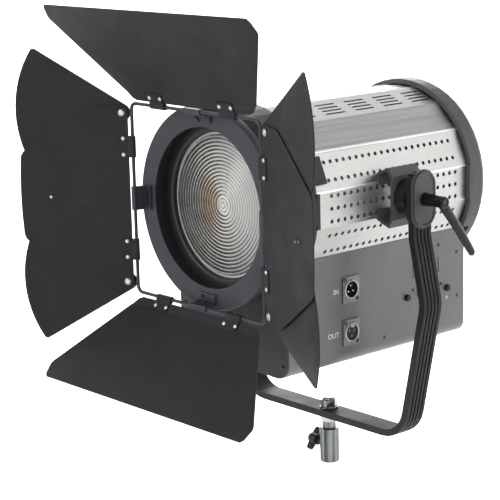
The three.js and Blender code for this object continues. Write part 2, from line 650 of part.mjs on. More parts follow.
// Power supply and control board, on pillars above the box's floor.
function driverBoard() {
  const floor = BOX_BOTTOM + SHEET + GAP;
  const board = block([-70, -120, floor + 10], [70, 110, floor + 12]);
  const parts = [
    block([-55, -100, floor + 11], [-15, -50, floor + 42]),
    block([-60, -30, floor + 11], [-30, 60, floor + 32]),
    block([5, -90, floor + 11], [50, -20, floor + 24]),
    block([15, 20, floor + 11], [45, 50, floor + 28]),
    move(latheZ(disc(12, floor + 11, floor + 46), 16), -5, 80, 0),
  ];
  const pillars = [[-60, -110], [60, -110], [-60, 100], [60, 100]].map(([x, y]) =>
    move(latheZ(disc(3.5, floor, floor + 11), 8), x, y, 0));
  return join(board, ...parts, ...pillars);
}
add(head, "driver_board", MATERIAL.board, driverBoard());

// ---------------------------------------------------------------- pivot brackets
// A channel on each side of the barrel; the yoke arm bears on its web through a friction disc.
const WEB_X = 133;
const BRACKET_HALF_Y = 23;
const BRACKET_UP = 35;
const FACET_X = BARREL_R * Math.cos(rad(CORNER)) + GAP;

function pivotBracket(side) {
  const t = 3.5;
  const profile = outline([
    [FACET_X, 24 + t], [FACET_X, 24], [WEB_X - 8, BRACKET_UP - t],
    [WEB_X - t, BRACKET_UP - 12], [WEB_X - t, -BRACKET_UP + 12], [WEB_X - 8, -BRACKET_UP + t],
    [FACET_X, -24], [FACET_X, -24 - t], [WEB_X - 6, -BRACKET_UP],
    [WEB_X, -BRACKET_UP + 10], [WEB_X, BRACKET_UP - 10], [WEB_X - 6, BRACKET_UP]]);
  const channel = alongY(profile, -BRACKET_HALF_Y, BRACKET_HALF_Y);
  const footUp = block([FACET_X, -BRACKET_HALF_Y, 13], [FACET_X + 3, BRACKET_HALF_Y, 24.5]);
  const footDown = block([FACET_X, -BRACKET_HALF_Y, -27.4], [FACET_X + 3, BRACKET_HALF_Y, -16]);
  const stud = latheX(disc(STUD_R, WEB_X - 1, CAP_FACE_X - 0.5), 20);
  const boltHead = latheX(disc(9, WEB_X - t - 5, WEB_X - t + 0.1), 6);
  // the corner facets fall away from the feet, so trim whatever reaches into the barrel
  const barrel = alongY(outline(Array.from({ length: FACETS }, (_, i) =>
    polar(BARREL_R + GAP, CORNER + i * FACET))), -60, 60).translate(0, 0, -TILT_UP);
  const whole = cut(join(channel, footUp, footDown, stud, boltHead), barrel);
  return side > 0 ? whole : turn(whole, [0, 0, 1], 180);
}
const pivot = group(head, 0, 0, TILT_UP);
add(pivot, "pivot_bracket_right", MATERIAL.castGray, pivotBracket(1));
add(pivot, "pivot_bracket_left", MATERIAL.castGray, pivotBracket(-1));

const frictionDisc = () => latheX(tube(21, PIVOT_HOLE_R, WEB_X + GAP, ARM_INNER_X - GAP), 32);
add(pivot, "friction_disc_right", MATERIAL.plastic, frictionDisc());
add(pivot, "friction_disc_left", MATERIAL.plastic, turn(frictionDisc(), [0, 0, 1], 180));

// ---------------------------------------------------------------- focus drive, light engine, fan
const CARRIAGE_Y = -40;          // front face of the carriage at rest

for (const [name, x] of [["guide_rod_right", ROD_X], ["guide_rod_left", -ROD_X]]) {
  add(head, name, MATERIAL.steel, move(latheY(disc(4, -150 + GAP, REAR_END - 5 - GAP), 16), x, 0, ROD_Z));
}

function heatSink() {
  const base = block([-74, CARRIAGE_Y, -68], [74, CARRIAGE_Y + 8, 44]);
  const fins = [];
  for (let i = 0; i < 9; i += 1) {
    const x = -44 + i * 11;
    fins.push(block([x - 1.5, CARRIAGE_Y + 7, -44], [x + 1.5, CARRIAGE_Y + 48, 44]));
  }
  const rod = (radius, from, to, x, z) =>
    move(latheY(disc(radius, CARRIAGE_Y + from, CARRIAGE_Y + to), 20), x, 0, z);
  const bearings = [-ROD_X, ROD_X].map((x) => rod(8, 7, 26, x, ROD_Z));
  const nut = rod(9, 7, 20, SCREW_X, SCREW_BELOW);
  const rodHoles = [-ROD_X, ROD_X].map((x) => rod(4.5, -5, 60, x, ROD_Z));
  const screwHole = rod(4.5, -5, 60, SCREW_X, SCREW_BELOW);
  return cut(join(base, ...fins, ...bearings, nut), ...rodHoles, screwHole);
}
add(head, "led_carriage", MATERIAL.heatSink, heatSink());

add(head, "led_board", MATERIAL.steel,
  block([-26, CARRIAGE_Y - 2 - GAP, -26], [26, CARRIAGE_Y - GAP, 26]));
add(head, "led_emitter", MATERIAL.phosphor, latheY([
  [0, CARRIAGE_Y - 4], [16, CARRIAGE_Y - 4],
  [17, CARRIAGE_Y - 2 - 2 * GAP], [0, CARRIAGE_Y - 2 - 2 * GAP]], 32));

add(head, "lead_screw", MATERIAL.steel, move(latheY([
  [0, -110], [3, -110], [4, -108], [4, REAR_END + 3], [0, REAR_END + 3]], 16), SCREW_X, 0, SCREW_BELOW));

function focusKnob() {
  const start = REAR_END + 3 + GAP;
  const knob = latheY([
    [0, start], [14, start], [15, start + 2], [14, start + 17], [12.5, start + 19], [0, start + 19]], 24);
  const flutes = [];
  for (let i = 0; i < 12; i += 1) {
    const [x, z] = polar(16, i * 30);
    flutes.push(alongY(circle(2.2, x, z), start - 1, start + 22, 2));
  }
  return move(cut(knob, ...flutes), SCREW_X, 0, SCREW_BELOW);
}
add(head, "focus_knob", MATERIAL.plastic, focusKnob());

const FAN_FRONT = 124;
const FAN_REAR = REAR_END - 5 - GAP;
function fanFrame() {
  const body = alongY(roundRect(0, 0, 92, 92, 5), FAN_FRONT, FAN_REAR, 3);
  const duct = latheY(disc(42.5, FAN_FRONT - 1, FAN_REAR + 1), 40);
  const hub = latheY(disc(13, FAN_FRONT, FAN_FRONT + 3), 24);
  const struts = [45, 135].map((a) =>
    turn(block([-44, FAN_FRONT, -2], [44, FAN_FRONT + 2.5, 2]), [0, 1, 0], a));
  return join(cut(body, duct), hub, ...struts);
}
add(head, "fan_frame", MATERIAL.plastic, fanFrame());

function fanRotor() {
  const start = FAN_FRONT + 3 + GAP;
  const hub = latheY([
    [0, start], [16, start], [16, start + 20], [14, start + 21.5], [0, start + 21.5]], 24);
  const blades = [];
  for (let i = 0; i < 7; i += 1) {
    const blade = block([-8, -0.9, 14], [8, 0.9, 40]);
    turn(blade, [0, 0, 1], 40).translate(0, start + 10.5, 0);
    blades.push(turn(blade, [0, 1, 0], i * 360 / 7));
  }
  return join(hub, ...blades);
}
add(head, "fan_rotor", MATERIAL.plastic, fanRotor());

// ---------------------------------------------------------------- barn door ring and wire
const LATCH_HALF = 6;
function doorRing() {
  const rear = RING_FRONT + 10;
  const ring = latheY([
    [RING_HOLE_R, RING_FRONT], [RING_R, RING_FRONT], [RING_R, rear], [RING_R - 2, rear],
    [RING_R - 2, RING_FRONT + 2], [RING_HOLE_R, RING_FRONT + 2]], 48);
  const slot = block([-LATCH_HALF - 0.5, rear - 3.4, 100], [LATCH_HALF + 0.5, rear + 1, 125]);
  return cut(ring, slot);
}
add(head, "door_ring", MATERIAL.ringBlue, doorRing());

// Sprung latch over the top of the ring; its prong drops behind the casting's flange.
function ringLatch() {
  const top = RING_R + 1;
  const rear = RING_FRONT + 10;
  const roof = block([-LATCH_HALF, RING_FRONT - 2, top], [LATCH_HALF, rear - 0.6, top + 1.6]);
  const prong = block([-LATCH_HALF, rear - 2.4, 112.4], [LATCH_HALF, rear - 0.6, top + 0.1]);
  const thumb = block([-LATCH_HALF, RING_FRONT - 2, 103], [LATCH_HALF, RING_FRONT - 0.5, top + 0.1]);
  return join(roof, prong, thumb);
}
add(head, "ring_latch", MATERIAL.castDark, ringLatch());

const CLIP_OFFSET = 61;          // hinge clips, from the middle of each side
const CLIP_LENGTH = 25;

// A round rod bent into a closed loop through points of the X, Z plane, at height y.
function rodLoop(points, radius, y) {
  const sides = 8;
  const positions = [];
  const index = [];
  const count = points.length;
  points.forEach((point, i) => {
    const arriving = point.clone().sub(points.at(i - 1)).normalize();
    const leaving = points[(i + 1) % count].clone().sub(point).normalize();
    const along = arriving.add(leaving).normalize();
    const stretch = radius / along.dot(leaving);
    for (let k = 0; k < sides; k += 1) {
      const [across, up] = polar(1, k * 360 / sides);
      const aside = stretch * across;
      positions.push(point.x + along.y * aside, y + radius * up, point.y - along.x * aside);
      const [a, b] = [i * sides + k, i * sides + (k + 1) % sides];
      const [c, d] = [a, b].map((n) => (n + sides) % (count * sides));
      index.push(a, b, d, a, d, c);
    }
  });
  const geometry = new THREE.BufferGeometry();
  geometry.setAttribute("position", new THREE.Float32BufferAttribute(positions, 3));
  geometry.setIndex(index);
  return geometry;
}

function wireSquare() {
  const bend = 8;
  const points = roundRect(0, 0, 2 * WIRE_HALF, 2 * WIRE_HALF, bend).getPoints(4);
  points.pop();
  return rodLoop(points, WIRE_R, WIRE_Y);
}

// Bent strap from the ring's face to the wire, with two rivets; drawn for the top side.
function ringStrap() {
  const half = 14;
  const face = RING_FRONT - 0.3;
  const strap = alongX(outline([
    [face, 98], [face, 108.6], [WIRE_Y + 2.6, WIRE_HALF + 3], [WIRE_Y - 2.6, WIRE_HALF + 3],
    [WIRE_Y - 3.2, WIRE_HALF], [WIRE_Y - 2.6, WIRE_HALF - 3], [WIRE_Y + 2, WIRE_HALF - 3.2],
    [face - 1.5, 106.4], [face - 1.5, 98]]), -half, half);
  const window = block([-half + 5, face - 5, 100.5], [half - 5, face + 1, 105]);
  const button = latheY([[0, face - 2.6], [1.2, face - 2.6], [2, face - 1.4], [0, face - 1.4]], 10);
  const rivets = [-half + 2.5, half - 2.5].map((x) => move(button.clone(), x, 0, 102.5));
  return join(cut(strap, window), ...rivets);
}

function wireFrame() {
  // the top strap is notched so that the latch's thumb tab passes through it
  const top = cut(ringStrap(), block([-LATCH_HALF - 0.6, -192, 95], [LATCH_HALF + 0.6, -185, 125]));
  const others = [90, 180, 270].map((a) => turn(ringStrap(), [0, 1, 0], a));
  return join(wireSquare(), top, ...others);
}
add(head, "wire_frame", MATERIAL.yokeBlack, wireFrame());

// ---------------------------------------------------------------- barn door leaves
// A leaf is drawn with X along its hinge, Y out from the hinge and Z towards the beam.
const CLIP_BORE = WIRE_R + 0.35;
const LEAF_START = 5;
const LEAF_LENGTH = 136.5;
const rivet = (x, y, z0, z1, r = 2.1) =>
  move(latheZ([[0, z0], [r, z0], [r, z1 - 0.6], [r - 0.8, z1], [0, z1]], 8), x, y, 0);

// Clip round the wire, riveted to the leaf's inner face.
function hingeClip(x) {
  const outer = CLIP_BORE + 1.2;
  const shape = new THREE.Shape();
  shape.moveTo(0, -outer);
  shape.absarc(0, 0, outer, -Math.PI / 2, Math.PI / 2, true);
  shape.lineTo(6, LEAF_T / 2 + 1.2);
  shape.lineTo(17, LEAF_T / 2 + 1.2);
  shape.lineTo(17, LEAF_T / 2 - 0.1);
  shape.lineTo(LEAF_START + 0.5, LEAF_T / 2 - 0.1);
  shape.lineTo(LEAF_START + 0.5, -LEAF_T / 2 - 0.4);
  const body = alongX(shape, x - CLIP_LENGTH / 2, x + CLIP_LENGTH / 2);
  const bore = latheX(disc(CLIP_BORE, x - CLIP_LENGTH, x + CLIP_LENGTH), 16);
  const heads = [-9.5, 9.5].map((dx) => rivet(x + dx, 11, LEAF_T / 2 + 1.1, LEAF_T / 2 + 2.4));
  return join(cut(body, bore), ...heads);
}

// Wide leaf of the top and bottom: a hinge strip, a crease and a flared panel.
const CREASE_Y = 17;
const CREASE_BEND = 12;          // the hinge strip stands this much steeper than the panel
function wideLeaf() {
  const outer = LEAF_LENGTH - CREASE_Y;
  const panelSheet = alongZ(outline([
    [-113, 0], [113, 0], [180, outer - 21], [181, outer - 17], [178, outer - 4], [174, outer],
    [-174, outer], [-178, outer - 4], [-181, outer - 17], [-180, outer - 21]]), -LEAF_T / 2, LEAF_T / 2);
  turn(panelSheet, [1, 0, 0], CREASE_BEND).translate(0, CREASE_Y - 0.3, 0);
  const strip = alongZ(outline([
    [-98, LEAF_START], [98, LEAF_START], [105, LEAF_START + 3], [112.5, CREASE_Y],
    [-112.5, CREASE_Y], [-105, LEAF_START + 3]]), -LEAF_T / 2, LEAF_T / 2);
  return join(panelSheet, strip, hingeClip(-CLIP_OFFSET), hingeClip(CLIP_OFFSET));
}

// Tapered leaf of the two sides; its ears swivel on rivets near the hinge.
const EAR_PIVOT = { x: 100.5, y: 12.4 };
const EAR_R = 131;
const EAR_ROOT_R = 10.4;
const EAR_LAYER = { upper: -LEAF_T / 2 - 0.4, lower: -LEAF_T / 2 - 2.2 };   // each ear's beam side
function taperedLeaf(upperSign, studHeight) {
  const shape = new THREE.Shape();
  shape.moveTo(-102, LEAF_START);
  shape.lineTo(102, LEAF_START);
  shape.quadraticCurveTo(108.5, LEAF_START, 108.5, 12);
  shape.lineTo(108, 46);
  shape.lineTo(58, 129);
  shape.quadraticCurveTo(53, 139, 45, 139.5);
  shape.quadraticCurveTo(0, 143, -45, 139.5);
  shape.quadraticCurveTo(-53, 139, -58, 129);
  shape.lineTo(-108, 46);
  shape.lineTo(-108.5, 12);
  shape.quadraticCurveTo(-108.5, LEAF_START, -102, LEAF_START);
  const sheet = alongZ(shape, -LEAF_T / 2, LEAF_T / 2, 4);
  const stud = rivet(0, 102.5, LEAF_T / 2 - 0.1, LEAF_T / 2 + studHeight, 2.6);
  const pivots = ["upper", "lower"].flatMap((which) => {
    const x = (which === "upper" ? 1 : -1) * upperSign * EAR_PIVOT.x;
    const bottom = EAR_LAYER[which] - LEAF_T - 0.4;
    const pieces = [
      rivet(x, EAR_PIVOT.y, bottom - 1, LEAF_T / 2 + 1.4, 2),
      rivet(x, EAR_PIVOT.y, LEAF_T / 2 - 0.1, LEAF_T / 2 + 1.4, 4),
      rivet(x, EAR_PIVOT.y, bottom - 1.4, bottom, 4),
    ];
    if (which === "lower") {
      pieces.push(rivet(x, EAR_PIVOT.y, EAR_LAYER.lower + 0.4, -LEAF_T / 2 + 0.1, 4));
    }
    return pieces;
  });
  return join(sheet, stud, ...pivots, hingeClip(-CLIP_OFFSET), hingeClip(CLIP_OFFSET));
}

// Ear: a sector with a round root at its pivot, drawn about the pivot with its long edge first.
const EAR_EDGE = 30.7;           // direction of the long edge, from the leaf's own direction
const EAR_SPREAD = 54;
function ear(sign, layer) {
  const direction = (degrees) => 90 - sign * degrees;   // from the leaf's Y, turned towards its end
  const tangent = (degrees, side) => polar(EAR_ROOT_R, direction(degrees) - side * 90 * sign);
  const reach = Math.sqrt(EAR_R ** 2 - EAR_ROOT_R ** 2);
  const far = (degrees, side, short = 0) => {
    const [nx, ny] = tangent(degrees, side);
    const [dx, dy] = polar(reach - short, direction(degrees));
    return [nx + dx, ny + dy];
  };
  const points = [];
  const arc = (radius, from, to, steps) => {
    for (let i = 0; i <= steps; i += 1) {
      points.push(polar(radius, from + (to - from) * i / steps));
    }
  };
  const bearing = ([x, y]) => Math.atan2(y, x) * 180 / Math.PI;
  const lead = far(EAR_EDGE, 1);
  const trail = far(EAR_EDGE - EAR_SPREAD, -1);
  const tip = sign * 1.1;          // the two far tips are blunted by this many degrees
  points.push(far(EAR_EDGE, 1, 3));
  arc(EAR_R, bearing(lead) + tip, bearing(trail) - tip, 14);
  points.push(far(EAR_EDGE - EAR_SPREAD, -1, 3));
  const rootFrom = bearing(tangent(EAR_EDGE - EAR_SPREAD, -1));
  const rootTo = bearing(tangent(EAR_EDGE, 1));
  const sweep = ((rootTo - rootFrom) * sign + 720) % 360;
  arc(EAR_ROOT_R, rootFrom, rootFrom + sign * sweep, 8);
  const ordered = sign > 0 ? points.reverse() : points;
  const sheet = alongZ(outline(ordered), layer - LEAF_T, layer);
  return cut(sheet, latheZ(disc(2.4, layer - 4, layer + 4), 16));
}

const SIDE_TURN = { top: 0, right: 90, bottom: 180, left: -90 };   // about the lens axis
function leafGroup(side) {
  const frame = group(head);
  frame.rotation.y = rad(SIDE_TURN[side]);
  const leaf = group(frame, 0, WIRE_Y, WIRE_HALF);
  leaf.rotation.x = rad(180 - LEAF_OPEN[side]);
  return leaf;
}

for (const side of ["top", "bottom"]) {
  add(leafGroup(side), `leaf_${side}`, MATERIAL.leafBlack, wideLeaf());
}
for (const side of ["left", "right"]) {
  const leaf = leafGroup(side);
  const upperSign = side === "left" ? 1 : -1;     // where the leaf's upper end is along its hinge
  add(leaf, `leaf_${side}`, MATERIAL.leafBlack, taperedLeaf(upperSign, side === "left" ? 3 : 4));
  for (const which of ["upper", "lower"]) {
    const sign = (which === "upper" ? 1 : -1) * upperSign;
    const swivel = group(leaf, sign * EAR_PIVOT.x, EAR_PIVOT.y, 0);
    swivel.rotation.z = rad(-sign * EAR_SWIVEL[`${side}_${which}`]);
    add(swivel, `ear_${side}_${which}`, MATERIAL.leafBlack, ear(sign, EAR_LAYER[which]));
  }
}

export default spotlight;
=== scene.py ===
import math

import bmesh
import bpy
from mathutils import Matrix, Vector
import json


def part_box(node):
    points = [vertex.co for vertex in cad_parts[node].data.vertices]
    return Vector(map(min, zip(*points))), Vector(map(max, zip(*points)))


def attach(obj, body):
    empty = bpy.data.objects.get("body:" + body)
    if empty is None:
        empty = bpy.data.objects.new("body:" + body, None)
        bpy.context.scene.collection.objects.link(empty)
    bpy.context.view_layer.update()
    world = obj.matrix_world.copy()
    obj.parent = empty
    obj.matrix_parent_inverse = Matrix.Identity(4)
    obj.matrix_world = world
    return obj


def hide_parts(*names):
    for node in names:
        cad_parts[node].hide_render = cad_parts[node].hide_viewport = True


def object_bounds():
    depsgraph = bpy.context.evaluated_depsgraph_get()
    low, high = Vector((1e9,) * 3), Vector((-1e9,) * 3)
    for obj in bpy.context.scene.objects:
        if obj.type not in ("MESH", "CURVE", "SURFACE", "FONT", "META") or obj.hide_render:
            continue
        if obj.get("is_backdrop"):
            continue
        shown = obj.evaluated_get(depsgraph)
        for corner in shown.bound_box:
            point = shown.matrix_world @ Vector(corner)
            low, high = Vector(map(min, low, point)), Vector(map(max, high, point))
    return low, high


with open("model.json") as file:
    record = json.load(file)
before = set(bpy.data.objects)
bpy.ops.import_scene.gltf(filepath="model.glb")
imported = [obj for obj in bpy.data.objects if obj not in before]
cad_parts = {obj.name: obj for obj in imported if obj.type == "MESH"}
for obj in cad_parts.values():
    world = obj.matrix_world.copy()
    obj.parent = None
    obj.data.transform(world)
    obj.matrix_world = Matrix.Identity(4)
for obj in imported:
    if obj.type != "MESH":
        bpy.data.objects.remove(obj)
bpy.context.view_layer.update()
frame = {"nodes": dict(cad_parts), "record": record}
record = frame["record"]
nodes = frame["nodes"]


# ------------------------------------------------------------------ places taken from the frame
def middle(node):
    low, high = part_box(node)
    return (low + high) / 2


LENS_Z = middle("fresnel_lens").z
LENS_ZONES = 17
LENS_CORE = 0.0085
LENS_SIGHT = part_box("fresnel_lens")[1].x - 0.0065
LENS_ZONE = (LENS_SIGHT - LENS_CORE) / LENS_ZONES
SIDE_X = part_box("control_box")[1].x
PANEL_Y0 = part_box("side_panel_right")[0].y
PANEL_Y1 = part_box("side_panel_right")[1].y
TILT_Z = middle("boss_cap_right").z
BARREL_R = 0.110
FACET = 22.5
APOTHEM = BARREL_R * math.cos(math.radians(FACET / 2))
HALF_FACET = BARREL_R * math.sin(math.radians(FACET / 2))


# ------------------------------------------------------------------ node materials
class Nodes:
    """A small helper that wires a Principled material from procedural pieces."""

    def __init__(self, name):
        self.mat = bpy.data.materials.new(name)
        self.mat.use_nodes = True
        self.tree = self.mat.node_tree
        self.shader = self.tree.nodes["Principled BSDF"]
        self.coords = self.tree.nodes.new("ShaderNodeTexCoord").outputs["Object"]

    def link(self, a, b):
        self.tree.links.new(a, b)

    def stretched(self, scale):
        node = self.tree.nodes.new("ShaderNodeMapping")
        node.inputs["Scale"].default_value = scale
        self.link(self.coords, node.inputs["Vector"])
        return node.outputs["Vector"]

    def noise(self, scale, detail=3.0, vector=None, rough=0.5):
        node = self.tree.nodes.new("ShaderNodeTexNoise")
        node.inputs["Scale"].default_value = scale
        node.inputs["Detail"].default_value = detail
        node.inputs["Roughness"].default_value = rough
        self.link(vector or self.coords, node.inputs["Vector"])
        return node.outputs["Fac"]

    def voronoi(self, scale):
        node = self.tree.nodes.new("ShaderNodeTexVoronoi")
        node.inputs["Scale"].default_value = scale
        self.link(self.coords, node.inputs["Vector"])
        return node.outputs["Distance"]

    def ramp(self, fac, low, high, start=0.3, end=0.7):
        node = self.tree.nodes.new("ShaderNodeValToRGB")
        first, last = node.color_ramp.elements
        first.position, last.position = start, end
        first.color = (*low, 1)
        last.color = (*high, 1)
        self.link(fac, node.inputs["Fac"])
        return node.outputs["Color"]

    def span(self, fac, low, high, start=0.3, end=0.7):
        node = self.tree.nodes.new("ShaderNodeMapRange")
        node.inputs["From Min"].default_value = start
        node.inputs["From Max"].default_value = end
        node.inputs["To Min"].default_value = low
        node.inputs["To Max"].default_value = high
        self.link(fac, node.inputs["Value"])
        return node.outputs["Result"]

    def mix(self, fac, a, b):
        node = self.tree.nodes.new("ShaderNodeMix")
        node.data_type = "RGBA"
        self.link(fac, node.inputs["Factor"])
        self.link(a, node.inputs["A"])
        self.link(b, node.inputs["B"])
        return node.outputs["Result"]

    def bump(self, height, strength, distance=0.0003, after=None):
        node = self.tree.nodes.new("ShaderNodeBump")
        node.inputs["Strength"].default_value = strength
        node.inputs["Distance"].default_value = distance
        self.link(height, node.inputs["Height"])
        if after is not None:
            self.link(after, node.inputs["Normal"])
        return node.outputs["Normal"]

    def set(self, **values):
        for key, value in values.items():
            socket = self.shader.inputs[key.replace("_", " ")]
            if isinstance(value, bpy.types.NodeSocket):
                self.link(value, socket)
            else:
                socket.default_value = value
        return self.mat


def around(color, amount):
    """A darker and a lighter version of one colour."""
    return (
        tuple(c * (1 - amount) for c in color),
        tuple(min(1, c * (1 + amount)) for c in color),
    )


def painted(name, color, rough, grain, grain_strength, peel=0.0, spread=0.14, metallic=0.0, gloss=0.3):
    """Paint or powder coat: broad tone drift, a fine grain, light scuffs and a surface texture."""
    n = Nodes(name)
    broad = n.ramp(n.noise(9, 4), *around(color, spread))
    speck = n.ramp(n.noise(grain * 0.7, 2), *around(color, spread * 2.2), 0.35, 0.65)
    tone = n.mix(n.span(n.noise(grain * 0.25, 2), 0.15, 0.6), broad, speck)
    scuffs = n.noise(34, 6, n.stretched((1, 0.15, 0.6)), 0.7)
    worn = n.ramp(scuffs, *around(tuple(c * 1.5 + 0.012 for c in color), 0.1))
    base = n.mix(n.span(scuffs, 0.0, 0.55, 0.62, 0.8), tone, worn)
    normal = n.bump(n.noise(grain, 2), grain_strength, 0.00012)
    if peel:
        normal = n.bump(n.noise(420, 1), peel, 0.0003, normal)
    return n.set(
        Base_Color=base,
        Roughness=n.span(n.noise(26, 4), rough - 0.06, rough + 0.08),
        Metallic=metallic,
        Specular_IOR_Level=gloss,
        Normal=normal,
    )


def brushed(name, color, along, rough=0.3, fine=1500):
    """Metal with straight brush lines along one axis ('X', 'Y' or 'Z')."""
    n = Nodes(name)
    scale = {"X": (0.012, 1, 1), "Y": (1, 0.012, 1), "Z": (1, 1, 0.012)}[along]
    lines = n.noise(fine, 4, n.stretched(scale), 0.7)
    coarse = n.noise(fine * 0.18, 3, n.stretched(scale), 0.6)
    tone = n.ramp(lines, *around(color, 0.16))
    band = n.ramp(coarse, *around(color, 0.1))
    base = n.mix(n.span(n.noise(14, 2), 0.3, 0.7), tone, band)
    normal = n.bump(lines, 0.16, 0.00006)
    normal = n.bump(coarse, 0.07, 0.00012, normal)
    return n.set(
        Base_Color=base,
        Metallic=1.0,
        Roughness=n.span(coarse, rough - 0.05, rough + 0.1),
        Normal=normal,
    )


def plated(name, color, rough, smudge=0.06):
    """Plated or turned metal with faint turning marks and handling smudges."""
    n = Nodes(name)
    base = n.ramp(n.noise(60, 4), *around(color, 0.05))
    return n.set(
        Base_Color=base,
        Metallic=1.0,
        Roughness=n.span(n.noise(90, 5, None, 0.65), rough, rough + smudge),
        Normal=n.bump(n.noise(2200, 2, n.stretched((1, 1, 0.08))), 0.05, 0.00005),
    )


def plastic(name, color, rough, grain=1800, strength=0.2):
    """Moulded plastic with a fine spark-eroded texture and slight sheen drift."""
    n = Nodes(name)
    base = n.ramp(n.noise(40, 3), *around(color, 0.2))
    return n.set(
        Base_Color=base,
        Specular_IOR_Level=0.25,
        Roughness=n.span(n.noise(120, 4), rough - 0.05, rough + 0.06),
        Normal=n.bump(n.noise(grain, 2), strength, 0.0001),
    )


def lens_glass():
    """Moulded borosilicate: faint tint and a slightly wavy face, with a painted warm patch where the emitter
    shows through the glass and painted shade as dark rings at the zone edges.
    """
    n = Nodes("lens_glass")
    clear = n.ramp(n.noise(20, 2), (0.86, 0.86, 0.83), (0.96, 0.96, 0.94))
    spot = n.tree.nodes.new("ShaderNodeMapping")
    spot.inputs["Location"].default_value = (1.25, 0, -LENS_Z * 26)
    spot.inputs["Scale"].default_value = (50, 0, 26)
    n.link(n.coords, spot.inputs["Vector"])
    length = n.tree.nodes.new("ShaderNodeVectorMath")
    length.operation = "LENGTH"
    n.link(spot.outputs["Vector"], length.inputs[0])
    # painted light: the emitter's warm colour seen through the glass, put into the glass colour as a patch
    painted_emitter_tint = n.ramp(n.noise(90, 2), (0.95, 0.55, 0.2), (0.9, 0.62, 0.3))
    base = n.mix(n.span(length.outputs["Value"], 0.85, 0.0, 0.35, 1.0), clear, painted_emitter_tint)
    centred = n.tree.nodes.new("ShaderNodeMapping")
    centred.inputs["Location"].default_value = (0, 0, -LENS_Z)
    centred.inputs["Scale"].default_value = (1, 0, 1)
    n.link(n.coords, centred.inputs["Vector"])
    radius = n.tree.nodes.new("ShaderNodeVectorMath")
    radius.operation = "LENGTH"
    n.link(centred.outputs["Vector"], radius.inputs[0])
    zone = radius.outputs["Value"]
    for operation, value in (("SUBTRACT", LENS_CORE), ("DIVIDE", LENS_ZONE), ("FRACT", 0)):
        step = n.tree.nodes.new("ShaderNodeMath")
        step.operation = operation
        n.link(zone, step.inputs[0])
        step.inputs[1].default_value = value
        zone = step.outputs[0]
    # painted shade: each zone darkens towards its outer edge, drawing the rings
    painted_ring_shade = n.ramp(n.noise(60, 3), (0.05, 0.049, 0.046), (0.14, 0.137, 0.13))
    base = n.mix(n.span(zone, 0.0, 0.92, 0.5, 0.97), base, painted_ring_shade)
    return n.set(
        Base_Color=base,
        Transmission_Weight=0.66,
        IOR=1.48,
        Roughness=n.span(n.noise(200, 3), 0.1, 0.2),
        Normal=n.bump(n.noise(220, 1), 0.03, 0.0002),
    )


def lens_riser_painted_shade():
    # painted shade: the risers are clear glass, given a dark opaque colour to stand for the shade seen on them
    n = Nodes("lens_riser_painted_shade")
    return n.set(
        Base_Color=n.ramp(n.noise(60, 3), (0.03, 0.029, 0.027), (0.075, 0.072, 0.066)),
        Roughness=n.span(n.noise(140, 3), 0.25, 0.4),
        Normal=n.bump(n.noise(700, 1), 0.1, 0.0002),
    )


def circuit_board():
    n = Nodes("circuit_board")
    tracks = n.voronoi(160)
    return n.set(
        Base_Color=n.ramp(tracks, (0.01, 0.09, 0.04), (0.02, 0.2, 0.1), 0.2, 0.5),
        Roughness=n.span(tracks, 0.35, 0.6, 0.1, 0.6),
        Normal=n.bump(tracks, 0.2, 0.0002),
    )


def phosphor():
    n = Nodes("phosphor")
    cells = n.voronoi(420)
    amber = n.ramp(cells, (0.9, 0.48, 0.08), (0.62, 0.3, 0.05), 0.2, 0.6)
    # the emission is a painted glow that brightens the amber; the emitter does not light the scene as a lamp
    return n.set(
        Base_Color=amber,
        Roughness=n.span(n.noise(300, 2), 0.4, 0.6),
        Emission_Color=amber,
        Emission_Strength=0.35,
        Normal=n.bump(cells, 0.3, 0.0002),
    )


def smoked():
    n = Nodes("smoked_window")
    return n.set(
        Base_Color=n.ramp(n.noise(90, 3), (0.006, 0.007, 0.009), (0.014, 0.015, 0.018)),
        Roughness=n.span(n.noise(160, 4), 0.05, 0.14),
        Coat_Weight=0.6,
        Normal=n.bump(n.noise(900, 1), 0.02, 0.0001),
    )


def chrome_painted_reflections(name, dark, light, rough):
    """Chrome plate on a drawn tube: a dark base and long light streaks along Z, painted reflections of the
    surroundings, over fine draw lines.
    """
    n = Nodes(name)
    # painted reflection: long dark-to-light streaks along Z
    painted_reflection_streaks = n.noise(150, 3, n.stretched((1, 1, 0.02)), 0.55)
    fine = n.noise(1500, 3, n.stretched((1, 1, 0.03)), 0.6)
    base = n.mix(n.span(fine, 0.0, 0.25), n.ramp(painted_reflection_streaks, dark, light, 0.38, 0.62), n.ramp(fine, dark, light))
    return n.set(
        Base_Color=base,
        Metallic=1.0,
        Roughness=n.span(n.noise(90, 5, None, 0.65), rough, rough + 0.1),
        Normal=n.bump(fine, 0.08, 0.00005),
    )


